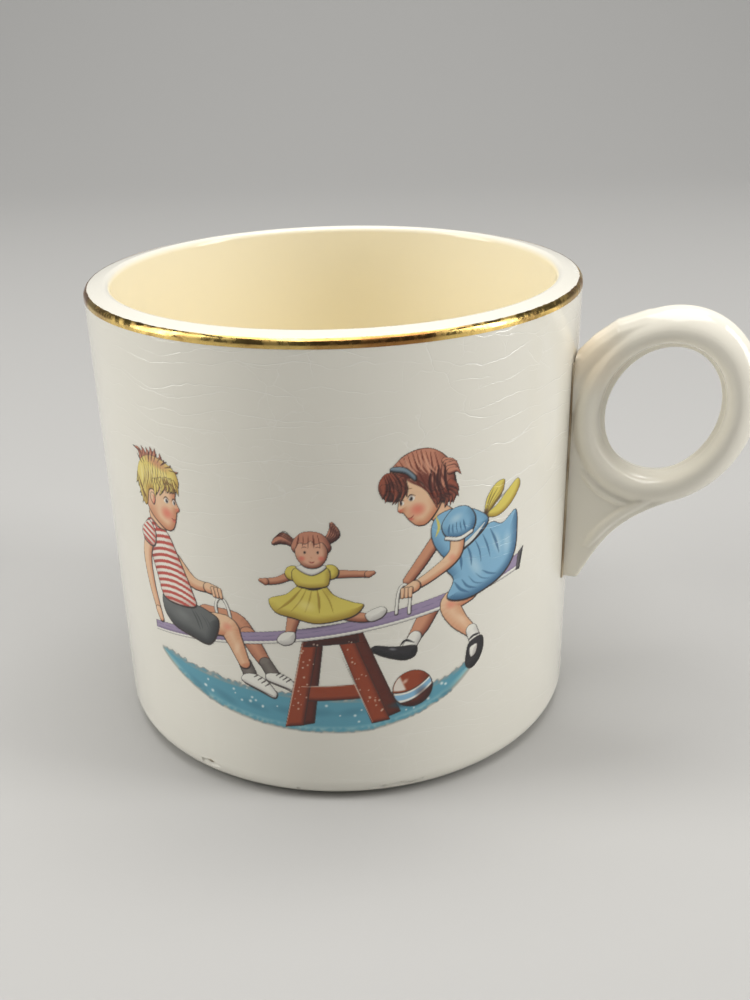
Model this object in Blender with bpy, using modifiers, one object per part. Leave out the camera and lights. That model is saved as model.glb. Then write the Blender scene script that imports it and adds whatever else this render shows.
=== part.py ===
"""A small straight-sided ceramic mug with a finger-ring handle.

The clay cup, its glaze, the separately cast handle, the slip that glues the handle on, the gold
rim line and the transfer print are separate solids. The frame has +Z up and the handle towards
+X; the origin is on the bench, below the middle of the whole mug. Lengths are in metres.
"""

import math

import bmesh
import bpy
from mathutils import Vector
from mathutils.geometry import interpolate_bezier

# Cup, measured over the glaze
RIM_RADIUS = 0.0400
BASE_RADIUS = 0.0395
HEIGHT = 0.07525
WALL = 0.0041
FLOOR_TOP = 0.0060
INNER_CORNER = 0.0060
BASE_CORNER = 0.0043
LIP_INNER_ROUND = 0.0022
LIP_OUTER_ROUND = 0.0008

# Foot of bare clay, under the base corner
FOOT_INSET = 0.0006
FOOT_WIDTH = 0.0030
FOOT_RECESS = 0.0016
GLAZE_STOP = math.radians(62)

# Coats, and the clearance between solids that touch on the real mug
CLEARANCE = 0.0003
GLAZE = 0.0003
GOLD = 0.0002
GOLD_BOTTOM_DROP = 0.00135
GOLD_TOP_DROP = 0.00055
PRINT = 0.0002
SLIP = 0.0004

# Finger ring: an oval of round stock that leans outwards at the top
FINGER_HALF_LONG = 0.0111
FINGER_HALF_SHORT = 0.0086
RING_TUBE = 0.0029
RING_HALF_DEPTH = 0.0036
RING_LEAN = math.radians(25)
RING_STAND_OFF = 0.0138
RING_DROP = 0.01855

# Web: the plate under the ring, which runs down the wall to a blunt tip
WEB_THICKNESS = 0.0056
WEB_ROUND = 0.0006
WEB_LENGTH = 0.0305
TIP_WIDTH = 0.0024
TIP_SLOPE = math.radians(65)
TIP_RUN = 0.0101
UNDER_SLOPE = math.radians(24)
UNDER_RUN = 0.0115
WEB_BORDER = 0.0021
PAD_BORDER = 0.0026
BEAD = 0.0022
PANEL_DEPTH = 0.0007

# The ring hangs from the rim's height, and the web's tip hangs from the ring's middle
RING_HEIGHT = HEIGHT - RING_DROP
TIP_HEIGHT = RING_HEIGHT - WEB_LENGTH

# Where the web's outline joins the ring's oval, under the ring and at the wall
WEB_START = math.radians(128)
WEB_END = math.radians(285)

# The handle's back stands off the glazed wall by the slip and a clearance on each side of it
HANDLE_BACK = CLEARANCE + SLIP + CLEARANCE

# Print: the way its middle faces, seen from above, and the margin that its trimmer needs
PRINT_AZIMUTH = math.radians(-72)
TRIM_SPARE = 0.002

CUP_STEPS = 60
PRINT_STEPS = 120
ARC_STEPS = 4
OVAL_STEPS = 40
TUBE_STEPS = 4

QUARTER = math.radians(90)
SHARP = math.radians(35)
FLAT = math.radians(0.5)
WELD = 0.00001


def clear_scene():
    for old in list(bpy.data.objects):
        bpy.data.objects.remove(old, do_unlink=True)


def new_collection(name):
    collection = bpy.data.collections.new(name)
    bpy.context.scene.collection.children.link(collection)
    return collection


def finish_of(name, colour, roughness, metallic=0.0):
    finish = bpy.data.materials.new(name)
    finish.use_nodes = True
    shader = finish.node_tree.nodes["Principled BSDF"]
    shader.inputs["Base Color"].default_value = (*colour, 1.0)
    shader.inputs["Roughness"].default_value = roughness
    shader.inputs["Metallic"].default_value = metallic
    return finish


# Helpers that make solids

def arc(centre, radius, start, end, steps=ARC_STEPS):
    """Points (radius, height) along an arc; angles start outwards and turn upwards."""
    points = []
    for step in range(steps + 1):
        angle = start + (end - start) * step / steps
        points.append((centre[0] + radius * math.cos(angle), centre[1] + radius * math.sin(angle)))
    return points


def turned(name, points, collection, axis, closed=False, steps=CUP_STEPS):
    """A solid turned about the cup's axis, from a profile that runs down its outer side."""
    edges = [(index, index + 1) for index in range(len(points) - 1)]
    if closed:
        edges.append((len(points) - 1, 0))
    mesh = bpy.data.meshes.new(name)
    mesh.from_pydata([(radius, 0.0, height) for radius, height in points], edges, [])
    solid = bpy.data.objects.new(name, mesh)
    solid.parent = axis
    collection.objects.link(solid)
    screw = solid.modifiers.new("turn", "SCREW")
    screw.steps = steps
    screw.render_steps = steps
    screw.use_merge_vertices = True
    screw.merge_threshold = WELD
    screw.use_smooth_shade = True
    return solid


def as_mesh(curve_object, name, collection):
    """Turns a curve into a mesh object in the same place, with its faces joined."""
    bpy.context.view_layer.update()
    evaluated = curve_object.evaluated_get(bpy.context.evaluated_depsgraph_get())
    mesh = bpy.data.meshes.new_from_object(evaluated)
    work = bmesh.new()
    work.from_mesh(mesh)
    bmesh.ops.remove_doubles(work, verts=work.verts, dist=WELD)
    bmesh.ops.dissolve_limit(work, angle_limit=FLAT, verts=work.verts, edges=work.edges)
    bmesh.ops.recalc_face_normals(work, faces=work.faces)
    work.to_mesh(mesh)
    work.free()
    solid = bpy.data.objects.new(name, mesh)
    solid.matrix_world = curve_object.matrix_world.copy()
    collection.objects.link(solid)
    bpy.data.objects.remove(curve_object, do_unlink=True)
    return solid


def plate(name, outline, half_thickness, collection, axis):
    """A flat outline of (distance from the cup's axis, height), thick across the handle."""
    curve = bpy.data.curves.new(name, "CURVE")
    curve.dimensions = "2D"
    curve.fill_mode = "BOTH"
    curve.extrude = half_thickness
    spline = curve.splines.new("POLY")
    spline.points.add(len(outline) - 1)
    for knot, (out, height) in zip(spline.points, outline):
        knot.co = (out, height, 0.0, 1.0)
    spline.use_cyclic_u = True
    flat = bpy.data.objects.new(name + "_outline", curve)
    flat.rotation_euler = (QUARTER, 0.0, 0.0)
    flat.parent = axis
    collection.objects.link(flat)
    return as_mesh(flat, name, collection)


def combine(solid, other, operation):
    """Joins, cuts or trims a solid with a helper, which is then left out of the mug."""
    other.hide_render = True
    other.display_type = "WIRE"
    boolean = solid.modifiers.new(f"{operation.lower()}_{other.name}", "BOOLEAN")
    boolean.operation = operation
    boolean.solver = "EXACT"
    boolean.object = other


# Cup

def wall_radius(height):
    """The glazed wall's outer radius at a height: the cup narrows a little towards its base."""
    share = (height - BASE_CORNER) / (HEIGHT - BASE_CORNER)
    return BASE_RADIUS + (RIM_RADIUS - BASE_RADIUS) * share


def cup_surface(depth, base_turn):
    """The profile at a depth under the glazed surface, from the floor's middle to the base.

    The outer side of the lip steps in by the gold line's seat.
    """
    floor = FLOOR_TOP - depth
    inner = RIM_RADIUS - WALL + depth
    inner_low = wall_radius(FLOOR_TOP + INNER_CORNER) - WALL + depth
    lip = HEIGHT - depth
    seat = RIM_RADIUS - GOLD - CLEARANCE - depth
    seat_height = HEIGHT - GOLD_BOTTOM_DROP - CLEARANCE - depth
    inner_round = LIP_INNER_ROUND - depth
    outer_round = max(LIP_OUTER_ROUND - depth, WELD * 10)
    points = [(0.0, floor)]
    points += arc((inner_low - INNER_CORNER, floor + INNER_CORNER), INNER_CORNER, -QUARTER, 0.0)
    points += arc((inner + inner_round, lip - inner_round), inner_round, 2 * QUARTER, QUARTER)
    points += arc((seat - outer_round, lip - outer_round), outer_round, QUARTER, 0.0, 2)
    points.append((seat, seat_height))
    points.append((wall_radius(seat_height) - depth, seat_height))
    base_centre = (BASE_RADIUS - BASE_CORNER, BASE_CORNER)
    points += arc(base_centre, BASE_CORNER - depth, 0.0, -base_turn)
    return points


def cup_body(collection, axis):
    """The cast clay cup, with the bare foot ring that it stands on."""
    clay_depth = GLAZE + CLEARANCE
    foot_outer = BASE_RADIUS - BASE_CORNER - FOOT_INSET
    foot_inner = foot_outer - FOOT_WIDTH
    points = cup_surface(clay_depth, QUARTER)
    points.append((foot_outer, clay_depth))
    points.append((foot_outer, 0.0))
    points.append((foot_inner, 0.0))
    points.append((foot_inner - FOOT_RECESS, FOOT_RECESS))
    points.append((0.0, FOOT_RECESS))
    solid = turned("cup_body", points, collection, axis)
    solid.data.materials.append(finish_of("clay", (0.80, 0.74, 0.62), 0.8))


def glaze_coat(collection, axis):
    """The glassy coat over the inside, the lip and the outside, which stops short of the foot."""
    points = cup_surface(0.0, GLAZE_STOP) + cup_surface(GLAZE, GLAZE_STOP)[::-1]
    solid = turned("glaze_coat", points, collection, axis)
    solid.data.materials.append(finish_of("ivory_glaze", (0.83, 0.79, 0.68), 0.12))


def gold_rim_line(collection, axis):
    """The fired gold line round the outside of the lip, in its seat in the glaze."""
    top = HEIGHT - GOLD_TOP_DROP
    bottom = HEIGHT - GOLD_BOTTOM_DROP
    inner = RIM_RADIUS - GOLD
    points = [(inner, top), (RIM_RADIUS, top), (RIM_RADIUS, bottom), (inner, bottom)]
    solid = turned("gold_rim_line", points, collection, axis, closed=True)
    solid.data.materials.append(finish_of("gold", (0.72, 0.50, 0.16), 0.2, 1.0))


def coat_on_wall(name, bottom, top, thickness, collection, axis):
    """A full turn of a thin coat, standing clear of the glazed wall by the clearance."""
    upper = wall_radius(top) + CLEARANCE
    lower = wall_radius(bottom) + CLEARANCE
    points = [(upper, top), (upper + thickness, top), (lower + thickness, bottom), (lower, bottom)]
    return turned(name, points, collection, axis, closed=True, steps=PRINT_STEPS)


def transfer_print(collection, cutters, axis):
    """The fired transfer: a thin skin on the wall, trimmed to the outline of the picture.

    The outline's points are (distance along the wall from the print's middle, height).
    """
    outline = [
        (-0.0345, 0.0270),
        (-0.0330, 0.0560),
        (-0.0245, 0.0560),
        (-0.0200, 0.0415),
        (-0.0090, 0.0415),
        (-0.0035, 0.0485),
        (0.0030, 0.0440),
        (0.0085, 0.0480),
        (0.0100, 0.0585),
        (0.0170, 0.0575),
        (0.0240, 0.0480),
        (0.0315, 0.0390),
        (0.0240, 0.0205),
        (0.0060, 0.0140),
        (-0.0110, 0.0140),
        (-0.0320, 0.0215),
    ]
    heights = [height for along, height in outline]
    bottom = min(heights) - TRIM_SPARE
    top = max(heights) + TRIM_SPARE
    radius = wall_radius((bottom + top) / 2)
    # The trimmer cuts along straight lines, so a distance round the wall becomes one across it.
    flat = [(radius * math.sin(along / radius), height) for along, height in outline]
    facing = bpy.data.objects.new("print_facing", None)
    facing.parent = axis
    facing.rotation_euler = (0.0, 0.0, PRINT_AZIMUTH + QUARTER)
    facing.location = Vector((math.cos(PRINT_AZIMUTH), math.sin(PRINT_AZIMUTH), 0.0)) * RIM_RADIUS
    cutters.objects.link(facing)
    trimmer = plate("print_trimmer", flat, RIM_RADIUS - WALL, cutters, facing)
    skin = coat_on_wall("transfer_print", bottom, top, PRINT, collection, axis)
    skin.data.materials.append(finish_of("print_ink", (0.45, 0.55, 0.60), 0.25))
    combine(skin, trimmer, "INTERSECT")


# Handle

def oval_point(turn, growth):
    """A point on the ring's middle line, or on an oval that is larger all round by growth.

    The turn starts at the oval's high end and goes outwards, down and back in to the wall.
    """
    along = (FINGER_HALF_LONG + RING_TUBE + growth) * math.cos(turn)
    across = (FINGER_HALF_SHORT + RING_TUBE + growth) * math.sin(turn)
    out = along * math.sin(RING_LEAN) + across * math.cos(RING_LEAN)
    rise = along * math.cos(RING_LEAN) - across * math.sin(RING_LEAN)
    return (RIM_RADIUS + RING_STAND_OFF + out, RING_HEIGHT + rise)


def oval_turn(point, growth):
    """How far round the oval a point lies, and how far out it is: 1 on the oval, less inside."""
    out = point[0] - RIM_RADIUS - RING_STAND_OFF
    rise = point[1] - RING_HEIGHT
    along = out * math.sin(RING_LEAN) + rise * math.cos(RING_LEAN)
    across = out * math.cos(RING_LEAN) - rise * math.sin(RING_LEAN)
    along /= FINGER_HALF_LONG + RING_TUBE + growth
    across /= FINGER_HALF_SHORT + RING_TUBE + growth
    return math.atan2(across, along) % (4 * QUARTER), math.hypot(across, along)


def oval_points(start, end, steps, growth):
    return [oval_point(start + (end - start) * step / steps, growth) for step in range(steps + 1)]


def handle_reach():
    """The distance of the ring's outermost point from the cup's axis."""
    return max(out for out, height in oval_points(0.0, 4 * QUARTER, 360, RING_TUBE))


def web_edge(inset, steps):
    """The web's hollow lower edge, from the tip up to the ring's underside, moved in by inset."""
    tip = Vector((wall_radius(TIP_HEIGHT) + HANDLE_BACK + TIP_WIDTH, TIP_HEIGHT))
    under = Vector(oval_point(WEB_START, RING_TUBE * 0.8))
    from_tip = tip + Vector((math.cos(TIP_SLOPE), math.sin(TIP_SLOPE))) * TIP_RUN
    to_under = under - Vector((math.cos(UNDER_SLOPE), math.sin(UNDER_SLOPE))) * UNDER_RUN
    knots = [knot.to_3d() for knot in (tip, from_tip, to_under, under)]
    edge = interpolate_bezier(*knots, steps + 1)
    points = []
    for here, after in zip(edge, edge[1:] + [edge[-1] * 2 - edge[-2]]):
        forward = (after - here).normalized()
        points.append((here.x - forward.y * inset, here.y + forward.x * inset))
    return points


def ring_solid(name, cutters, axis):
    """The finger ring: round stock bent to the leaning oval, a little deeper than it is wide."""
    curve = bpy.data.curves.new(name, "CURVE")
    curve.dimensions = "3D"
    curve.bevel_depth = RING_TUBE
    curve.bevel_resolution = TUBE_STEPS
    spline = curve.splines.new("POLY")
    middle = oval_points(0.0, 4 * QUARTER, OVAL_STEPS, 0.0)[:-1]
    spline.points.add(len(middle) - 1)
    for knot, (out, height) in zip(spline.points, middle):
        knot.co = (out, 0.0, height, 1.0)
    spline.use_cyclic_u = True
    stock = bpy.data.objects.new(name + "_stock", curve)
    stock.scale = (1.0, RING_HALF_DEPTH / RING_TUBE, 1.0)
    stock.parent = axis
    cutters.objects.link(stock)
    return as_mesh(stock, name, cutters)


def web_solid(cutters, axis):
    """The web's plate, from the wall to the ring's middle line, with its rims rounded."""
    buried = wall_radius(TIP_HEIGHT) - WALL
    outline = [(buried, TIP_HEIGHT)] + web_edge(0.0, 14)
    outline += oval_points(WEB_START, WEB_END, 20, 0.0)
    outline.append((buried, outline[-1][1]))
    web = plate("web", outline, WEB_THICKNESS / 2, cutters, axis)
    rounding = web.modifiers.new("round", "BEVEL")
    rounding.width = WEB_ROUND
    rounding.segments = 2
    rounding.limit_method = "ANGLE"
    rounding.angle_limit = SHARP * 1.5
    return web


def panel_cutter(name, side, cutters, axis):
    """The sunk panel in one face of the web, bordered by the pad, the lower edge and a bead."""
    growth = RING_TUBE + BEAD
    pad_line = RIM_RADIUS + PAD_BORDER
    lower = []
    for point in web_edge(WEB_BORDER, 30):
        turn, share = oval_turn(point, growth)
        if point[0] > pad_line and share > 1.0:
            lower.append(point)
    start = oval_turn(lower[-1], growth)[0]
    upper = []
    for point in oval_points(start, WEB_END, 60, growth):
        if point[0] <= pad_line:
            break
        upper.append(point)
    outline = lower[::3] + upper[1::2]
    outline.append((pad_line, upper[-1][1]))
    outline.append((pad_line, lower[0][1]))
    cutter = plate(name, outline, WEB_THICKNESS / 2, cutters, axis)
    cutter.location.y = side * (WEB_THICKNESS - PANEL_DEPTH)
    return cutter


def handle(collection, cutters, axis):
    """The cast handle: the ring and its web in one piece, cut to the curve of the cup."""
    solid = ring_solid("handle", cutters, axis)
    cutters.objects.unlink(solid)
    collection.objects.link(solid)
    solid.data.materials.append(finish_of("handle_glaze", (0.83, 0.79, 0.68), 0.15))
    combine(solid, web_solid(cutters, axis), "UNION")
    combine(solid, panel_cutter("panel_front", -1, cutters, axis), "DIFFERENCE")
    combine(solid, panel_cutter("panel_back", 1, cutters, axis), "DIFFERENCE")
    low = TIP_HEIGHT - TRIM_SPARE
    points = [
        (0.0, HEIGHT),
        (wall_radius(HEIGHT) + HANDLE_BACK, HEIGHT),
        (wall_radius(low) + HANDLE_BACK, low),
        (0.0, low),
    ]
    combine(solid, turned("cup_curve", points, cutters, axis, steps=PRINT_STEPS), "DIFFERENCE")
    solid.data.shade_smooth()
    solid.data.set_sharp_from_angle(angle=SHARP)


def handle_slip(collection, cutters, axis):
    """The thin line of slip that glues the handle's pad to the glazed wall."""
    top = oval_point(WEB_END, 0.0)[1]
    low = TIP_HEIGHT + CLEARANCE
    strip = coat_on_wall("handle_slip", low, top, SLIP, collection, axis)
    strip.data.materials.append(finish_of("slip", (0.55, 0.43, 0.28), 0.6))
    near = wall_radius(TIP_HEIGHT) - WALL
    far = RIM_RADIUS + RING_STAND_OFF
    outline = [(near, 0.0), (far, 0.0), (far, HEIGHT), (near, HEIGHT)]
    trimmer = plate("slip_trimmer", outline, WEB_THICKNESS / 2 - CLEARANCE, cutters, axis)
    combine(strip, trimmer, "INTERSECT")


def build_mug():
    clear_scene()
    mug = new_collection("mug")
    cutters = new_collection("cutters")
    axis = bpy.data.objects.new("cup_axis", None)
    axis.location = ((RIM_RADIUS - handle_reach()) / 2, 0.0, 0.0)
    mug.objects.link(axis)
    cup_body(mug, axis)
    glaze_coat(mug, axis)
    gold_rim_line(mug, axis)
    transfer_print(mug, cutters, axis)
    handle(mug, cutters, axis)
    handle_slip(mug, cutters, axis)


build_mug()
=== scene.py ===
# %% [markdown]
# # A nursery mug in glazed earthenware
#
# The mug is a straight-sided cup of ivory clay under a clear, finely crazed glaze, with a
# finger-ring handle on a web, a gold line round the lip and a colour transfer on the front.
# Each fired piece is modelled by itself: the clay, the glaze over it, the handle, the slip that
# joins it on, the gold and the transfer. They ride on the mug's one rigid body.

# %% Load the frame
import math

import bpy
import numpy as np
from mathutils import Matrix, Vector, noise
from mathutils.geometry import interpolate_bezier


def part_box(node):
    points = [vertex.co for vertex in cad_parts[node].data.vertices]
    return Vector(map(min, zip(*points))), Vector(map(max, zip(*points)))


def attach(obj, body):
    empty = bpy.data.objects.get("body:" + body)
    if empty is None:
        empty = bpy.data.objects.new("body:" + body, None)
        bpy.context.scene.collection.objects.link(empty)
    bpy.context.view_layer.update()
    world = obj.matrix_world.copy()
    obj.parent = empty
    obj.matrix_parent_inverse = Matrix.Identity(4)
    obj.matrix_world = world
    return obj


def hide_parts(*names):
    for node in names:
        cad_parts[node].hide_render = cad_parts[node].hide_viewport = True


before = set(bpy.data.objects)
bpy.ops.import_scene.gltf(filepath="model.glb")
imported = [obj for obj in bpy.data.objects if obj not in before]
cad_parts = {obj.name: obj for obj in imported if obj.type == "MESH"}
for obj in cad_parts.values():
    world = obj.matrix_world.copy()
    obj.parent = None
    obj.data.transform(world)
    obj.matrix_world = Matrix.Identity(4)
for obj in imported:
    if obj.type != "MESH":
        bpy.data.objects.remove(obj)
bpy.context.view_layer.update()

MM = 0.001
FULL = math.radians(360)
QUARTER = math.radians(90)

# %% [markdown]
# ## Sizes read from the frame
#
# The gold line runs round the widest part of the lip, so its box gives the cup's axis and its rim
# radius. The glaze gives the height. What the frame doesn't say, such as the wall's thickness,
# is a value here.

# %% Cup sizes
gold_low, gold_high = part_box("gold_rim_line")
glaze_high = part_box("glaze_coat")[1]

AXIS_X = (gold_low.x + gold_high.x) / 2
RIM_RADIUS = (gold_high.x - gold_low.x) / 2
RIM_HEIGHT = glaze_high.z
BASE_RADIUS = RIM_RADIUS - 0.5 * MM
WALL = 4.1 * MM
FLOOR_TOP = 6.0 * MM
GLAZE = 0.3 * MM
UNDER_GLAZE = 0.03 * MM
HANDLE_TURN = math.radians(18)

print("axis", round(AXIS_X / MM, 2), "rim radius", round(RIM_RADIUS / MM, 2))
print("height", round(RIM_HEIGHT / MM, 2))

# %% [markdown]
# ## The camera
#
# The view is from a little above the rim and from the print's side, with the handle to the right
# and just cut by the edge of the picture. A camera is an object with a place and a rotation: it
# is tipped down from the horizontal, turned about the upright, and rolled by a degree.

# %% Camera
VIEW_DROP = math.radians(23.92)
VIEW_ROLL = math.radians(-1.376)
CAMERA_FROM_AXIS = Vector((5.77, -186.48, 117.21)) * MM
FILM_HEIGHT = 36
LENS = 41.4

bpy.ops.object.select_all(action="DESELECT")
turn_to_print = Matrix.Rotation(HANDLE_TURN, 4, "Z")
camera_place = turn_to_print @ CAMERA_FROM_AXIS + Vector((AXIS_X, 0, 0))
bpy.ops.object.camera_add(location=camera_place)
camera = bpy.context.object
camera.name = "view_camera"
tilt = Matrix.Rotation(QUARTER - VIEW_DROP, 4, "X") @ Matrix.Rotation(VIEW_ROLL, 4, "Z")
camera.rotation_euler = (turn_to_print @ tilt).to_euler()
camera.data.sensor_fit = "VERTICAL"
camera.data.sensor_height = FILM_HEIGHT
camera.data.lens = LENS
camera.data.clip_start = 10 * MM
bpy.context.scene.camera = camera
print("camera at", [round(side / MM, 1) for side in camera_place])

# %% [markdown]
# ## Small helpers for the bench
#
# Every step below starts from the same few motions: pick nothing, pick one piece, work on it in
# edit mode, and apply a modifier. Putting them in short functions keeps each later cell to the
# shape that it is about.

# %% Bench helpers
def pick(piece):
    """Selects one piece alone and makes it the active one."""
    bpy.ops.object.select_all(action="DESELECT")
    piece.select_set(True)
    bpy.context.view_layer.objects.active = piece


def apply_modifier(piece, kind, **settings):
    """Adds a modifier with these settings and applies it to the mesh."""
    pick(piece)
    modifier = piece.modifiers.new(kind.lower(), kind)
    for setting, value in settings.items():
        setattr(modifier, setting, value)
    bpy.ops.object.modifier_apply(modifier=modifier.name)


def edit_all(piece):
    """Opens a piece in edit mode with all of it selected."""
    pick(piece)
    bpy.ops.object.mode_set(mode="EDIT")
    bpy.ops.mesh.select_all(action="SELECT")


def leave_edit():
    """Goes back to object mode, which writes the edit into the mesh."""
    bpy.ops.object.mode_set(mode="OBJECT")


def settle(piece):
    """Bakes a piece's place and turn into its mesh, so that its object sits at the origin."""
    pick(piece)
    bpy.ops.object.transform_apply(location=True, rotation=True, scale=True)


def merge_and_face_out(piece, distance=0.004 * MM):
    """Closes seams and poles, and then turns every face outward."""
    edit_all(piece)
    bpy.ops.mesh.remove_doubles(threshold=distance)
    bpy.ops.mesh.select_all(action="SELECT")
    bpy.ops.mesh.normals_make_consistent(inside=False)
    leave_edit()


def smooth_shading(piece, sharp_degrees=50):
    """Shades a piece smooth, but keeps the edges that are sharper than this angle."""
    pick(piece)
    bpy.ops.object.shade_smooth_by_angle(angle=math.radians(sharp_degrees))


def mounted(piece, node):
    """Rides a finished piece on the mug, in place of its plain stand-in."""
    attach(piece, "root")
    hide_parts(node)
    print(piece.name, "has", len(piece.data.polygons), "faces, for", node)


# %% [markdown]
# ## Drawing a section
#
# A potter's template for a cup is a flat outline with its corners eased. `eased_line` takes the
# corners as (distance from the axis, height, radius of the easing) and puts a short arc at each
# one, so a section needs only its real corners. The line becomes a curve and then a mesh.

# %% Sections
def eased_line(corners, steps=8):
    """Points along a line of straight runs, with an arc of the given radius at each corner."""
    points = []
    for index, (out, height, radius) in enumerate(corners):
        here = Vector((out, height))
        if radius == 0 or index in (0, len(corners) - 1):
            points.append(here)
            continue
        back = Vector(corners[index - 1][:2]) - here
        on = Vector(corners[index + 1][:2]) - here
        half = back.angle(on) / 2
        trim = min(radius / math.tan(half), back.length * 0.98, on.length * 0.98)
        start = here + back.normalized() * trim
        end = here + on.normalized() * trim
        centre = here + (back.normalized() + on.normalized()).normalized() * (trim / math.cos(half))
        sweep = (start - centre).angle_signed(end - centre)
        for step in range(steps + 1):
            spoke = Vector(start - centre)
            spoke.rotate(Matrix.Rotation(-sweep * step / steps, 2))
            points.append(centre + spoke)
    return points


def drawn_line(name, points, closed=False):
    """A line drawn in the upright plane through the cup's axis, as a mesh of edges."""
    bpy.ops.object.select_all(action="DESELECT")
    bpy.ops.curve.primitive_nurbs_path_add()
    line = bpy.context.object
    line.name = name
    line.data.splines.clear()
    spline = line.data.splines.new("POLY")
    spline.points.add(len(points) - 1)
    for knot, (out, height) in zip(spline.points, points):
        knot.co = (AXIS_X + out, 0, height, 1)
    spline.use_cyclic_u = closed
    pick(line)
    bpy.ops.object.convert(target="MESH")
    return bpy.context.object


def thrown(name, points, steps=288, closed=False):
    """A round piece: the section spun once about the cup's axis."""
    piece = drawn_line(name, points, closed)
    edit_all(piece)
    bpy.ops.mesh.spin(steps=steps, angle=FULL, center=(AXIS_X, 0, 0), axis=(0, 0, 1))
    leave_edit()
    merge_and_face_out(piece)
    smooth_shading(piece)
    return piece


# %% [markdown]
# ## Light and stage
#
# The mug stands on a plain pale table that rises into a plain backdrop. Two tall soft boxes
# stand at its sides and a wide one hangs over it, and the room in front of it is left dimmer:
# that is why the lip and the handle's upper faces are bright, the wall is greyer in the middle
# than at its two edges, and the gold has something dark to reflect.

# %% Stage and lights
def plain_material(name, colour, roughness):
    """An even matt finish for the stage."""
    finish = bpy.data.materials.new(name)
    finish.use_nodes = True
    shader = finish.node_tree.nodes["Principled BSDF"]
    shader.inputs["Base Color"].default_value = (*colour, 1)
    shader.inputs["Roughness"].default_value = roughness
    return finish


STAGE_HALF = 2.5
BACKDROP_AWAY = 1.3
BACKDROP_HIGH = 2.0
BACKDROP_CURVE = 0.7

sweep_corners = [
    (-STAGE_HALF, 0, 0),
    (BACKDROP_AWAY, 0, BACKDROP_CURVE),
    (BACKDROP_AWAY, BACKDROP_HIGH, 0),
]
sweep_line = eased_line(sweep_corners, 24)
table = drawn_line("table_and_backdrop", sweep_line)
edit_all(table)
bpy.ops.mesh.extrude_region_move(TRANSFORM_OT_translate={"value": (0, 2 * STAGE_HALF, 0)})
bpy.ops.mesh.select_all(action="SELECT")
bpy.ops.transform.translate(value=(0, -STAGE_HALF, 0))
bpy.ops.mesh.normals_make_consistent(inside=True)
leave_edit()
table.rotation_euler = (0, 0, QUARTER + HANDLE_TURN)
settle(table)
smooth_shading(table, 60)
table.data.materials.append(plain_material("pale_table", (0.47, 0.466, 0.455), 0.7))


def soft_box(name, place, aim, size, watts, colour=(1, 1, 1)):
    """A rectangular lamp that faces what it is aimed at."""
    bpy.ops.object.light_add(type="AREA", location=place)
    lamp = bpy.context.object
    lamp.name = name
    lamp.data.shape = "RECTANGLE"
    lamp.data.size, lamp.data.size_y = size
    lamp.data.energy = watts
    lamp.data.color = colour
    lamp.rotation_euler = (Vector(aim) - Vector(place)).to_track_quat("-Z", "Y").to_euler()
    return lamp


CUP_MIDDLE = Vector((AXIS_X, 0, RIM_HEIGHT / 2))


def around(azimuth_degrees, distance, height):
    """A place by its turn round the cup: 0 is towards the camera, and 90 is to its right."""
    turn = math.radians(azimuth_degrees) + HANDLE_TURN - QUARTER
    return CUP_MIDDLE + Vector((math.cos(turn) * distance, math.sin(turn) * distance, height))


soft_box("left_box", around(-84, 0.72, 0.30), CUP_MIDDLE, (0.32, 0.75), 3.6, (1.0, 0.99, 0.96))
soft_box("right_box", around(76, 0.75, 0.30), CUP_MIDDLE, (0.24, 0.75), 3.8, (1.0, 0.99, 0.97))
soft_box("top_box", around(20, 0.10, 0.85), CUP_MIDDLE, (0.7, 0.6), 5.6, (1.0, 0.98, 0.95))
soft_box("backdrop_box", around(180, 0.45, 1.5), around(180, 1.2, 0.1), (1.6, 0.5), 9.0)

world = bpy.data.worlds.new("studio_room")
bpy.context.scene.world = world
world.use_nodes = True
world.node_tree.nodes["Background"].inputs["Color"].default_value = (0.60, 0.61, 0.62, 1)
world.node_tree.nodes["Background"].inputs["Strength"].default_value = 0.12
bpy.context.scene.view_settings.view_transform = "Standard"

# %% [markdown]
# ## Building a finish from nodes
#
# A finish is a small network of nodes on the piece's own Object coordinates, which are the same
# for every piece because each one's object sits at the origin. `Finish` wraps the few kinds of
# node that the mug needs, so that each recipe reads as a list of what is laid over what.

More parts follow.
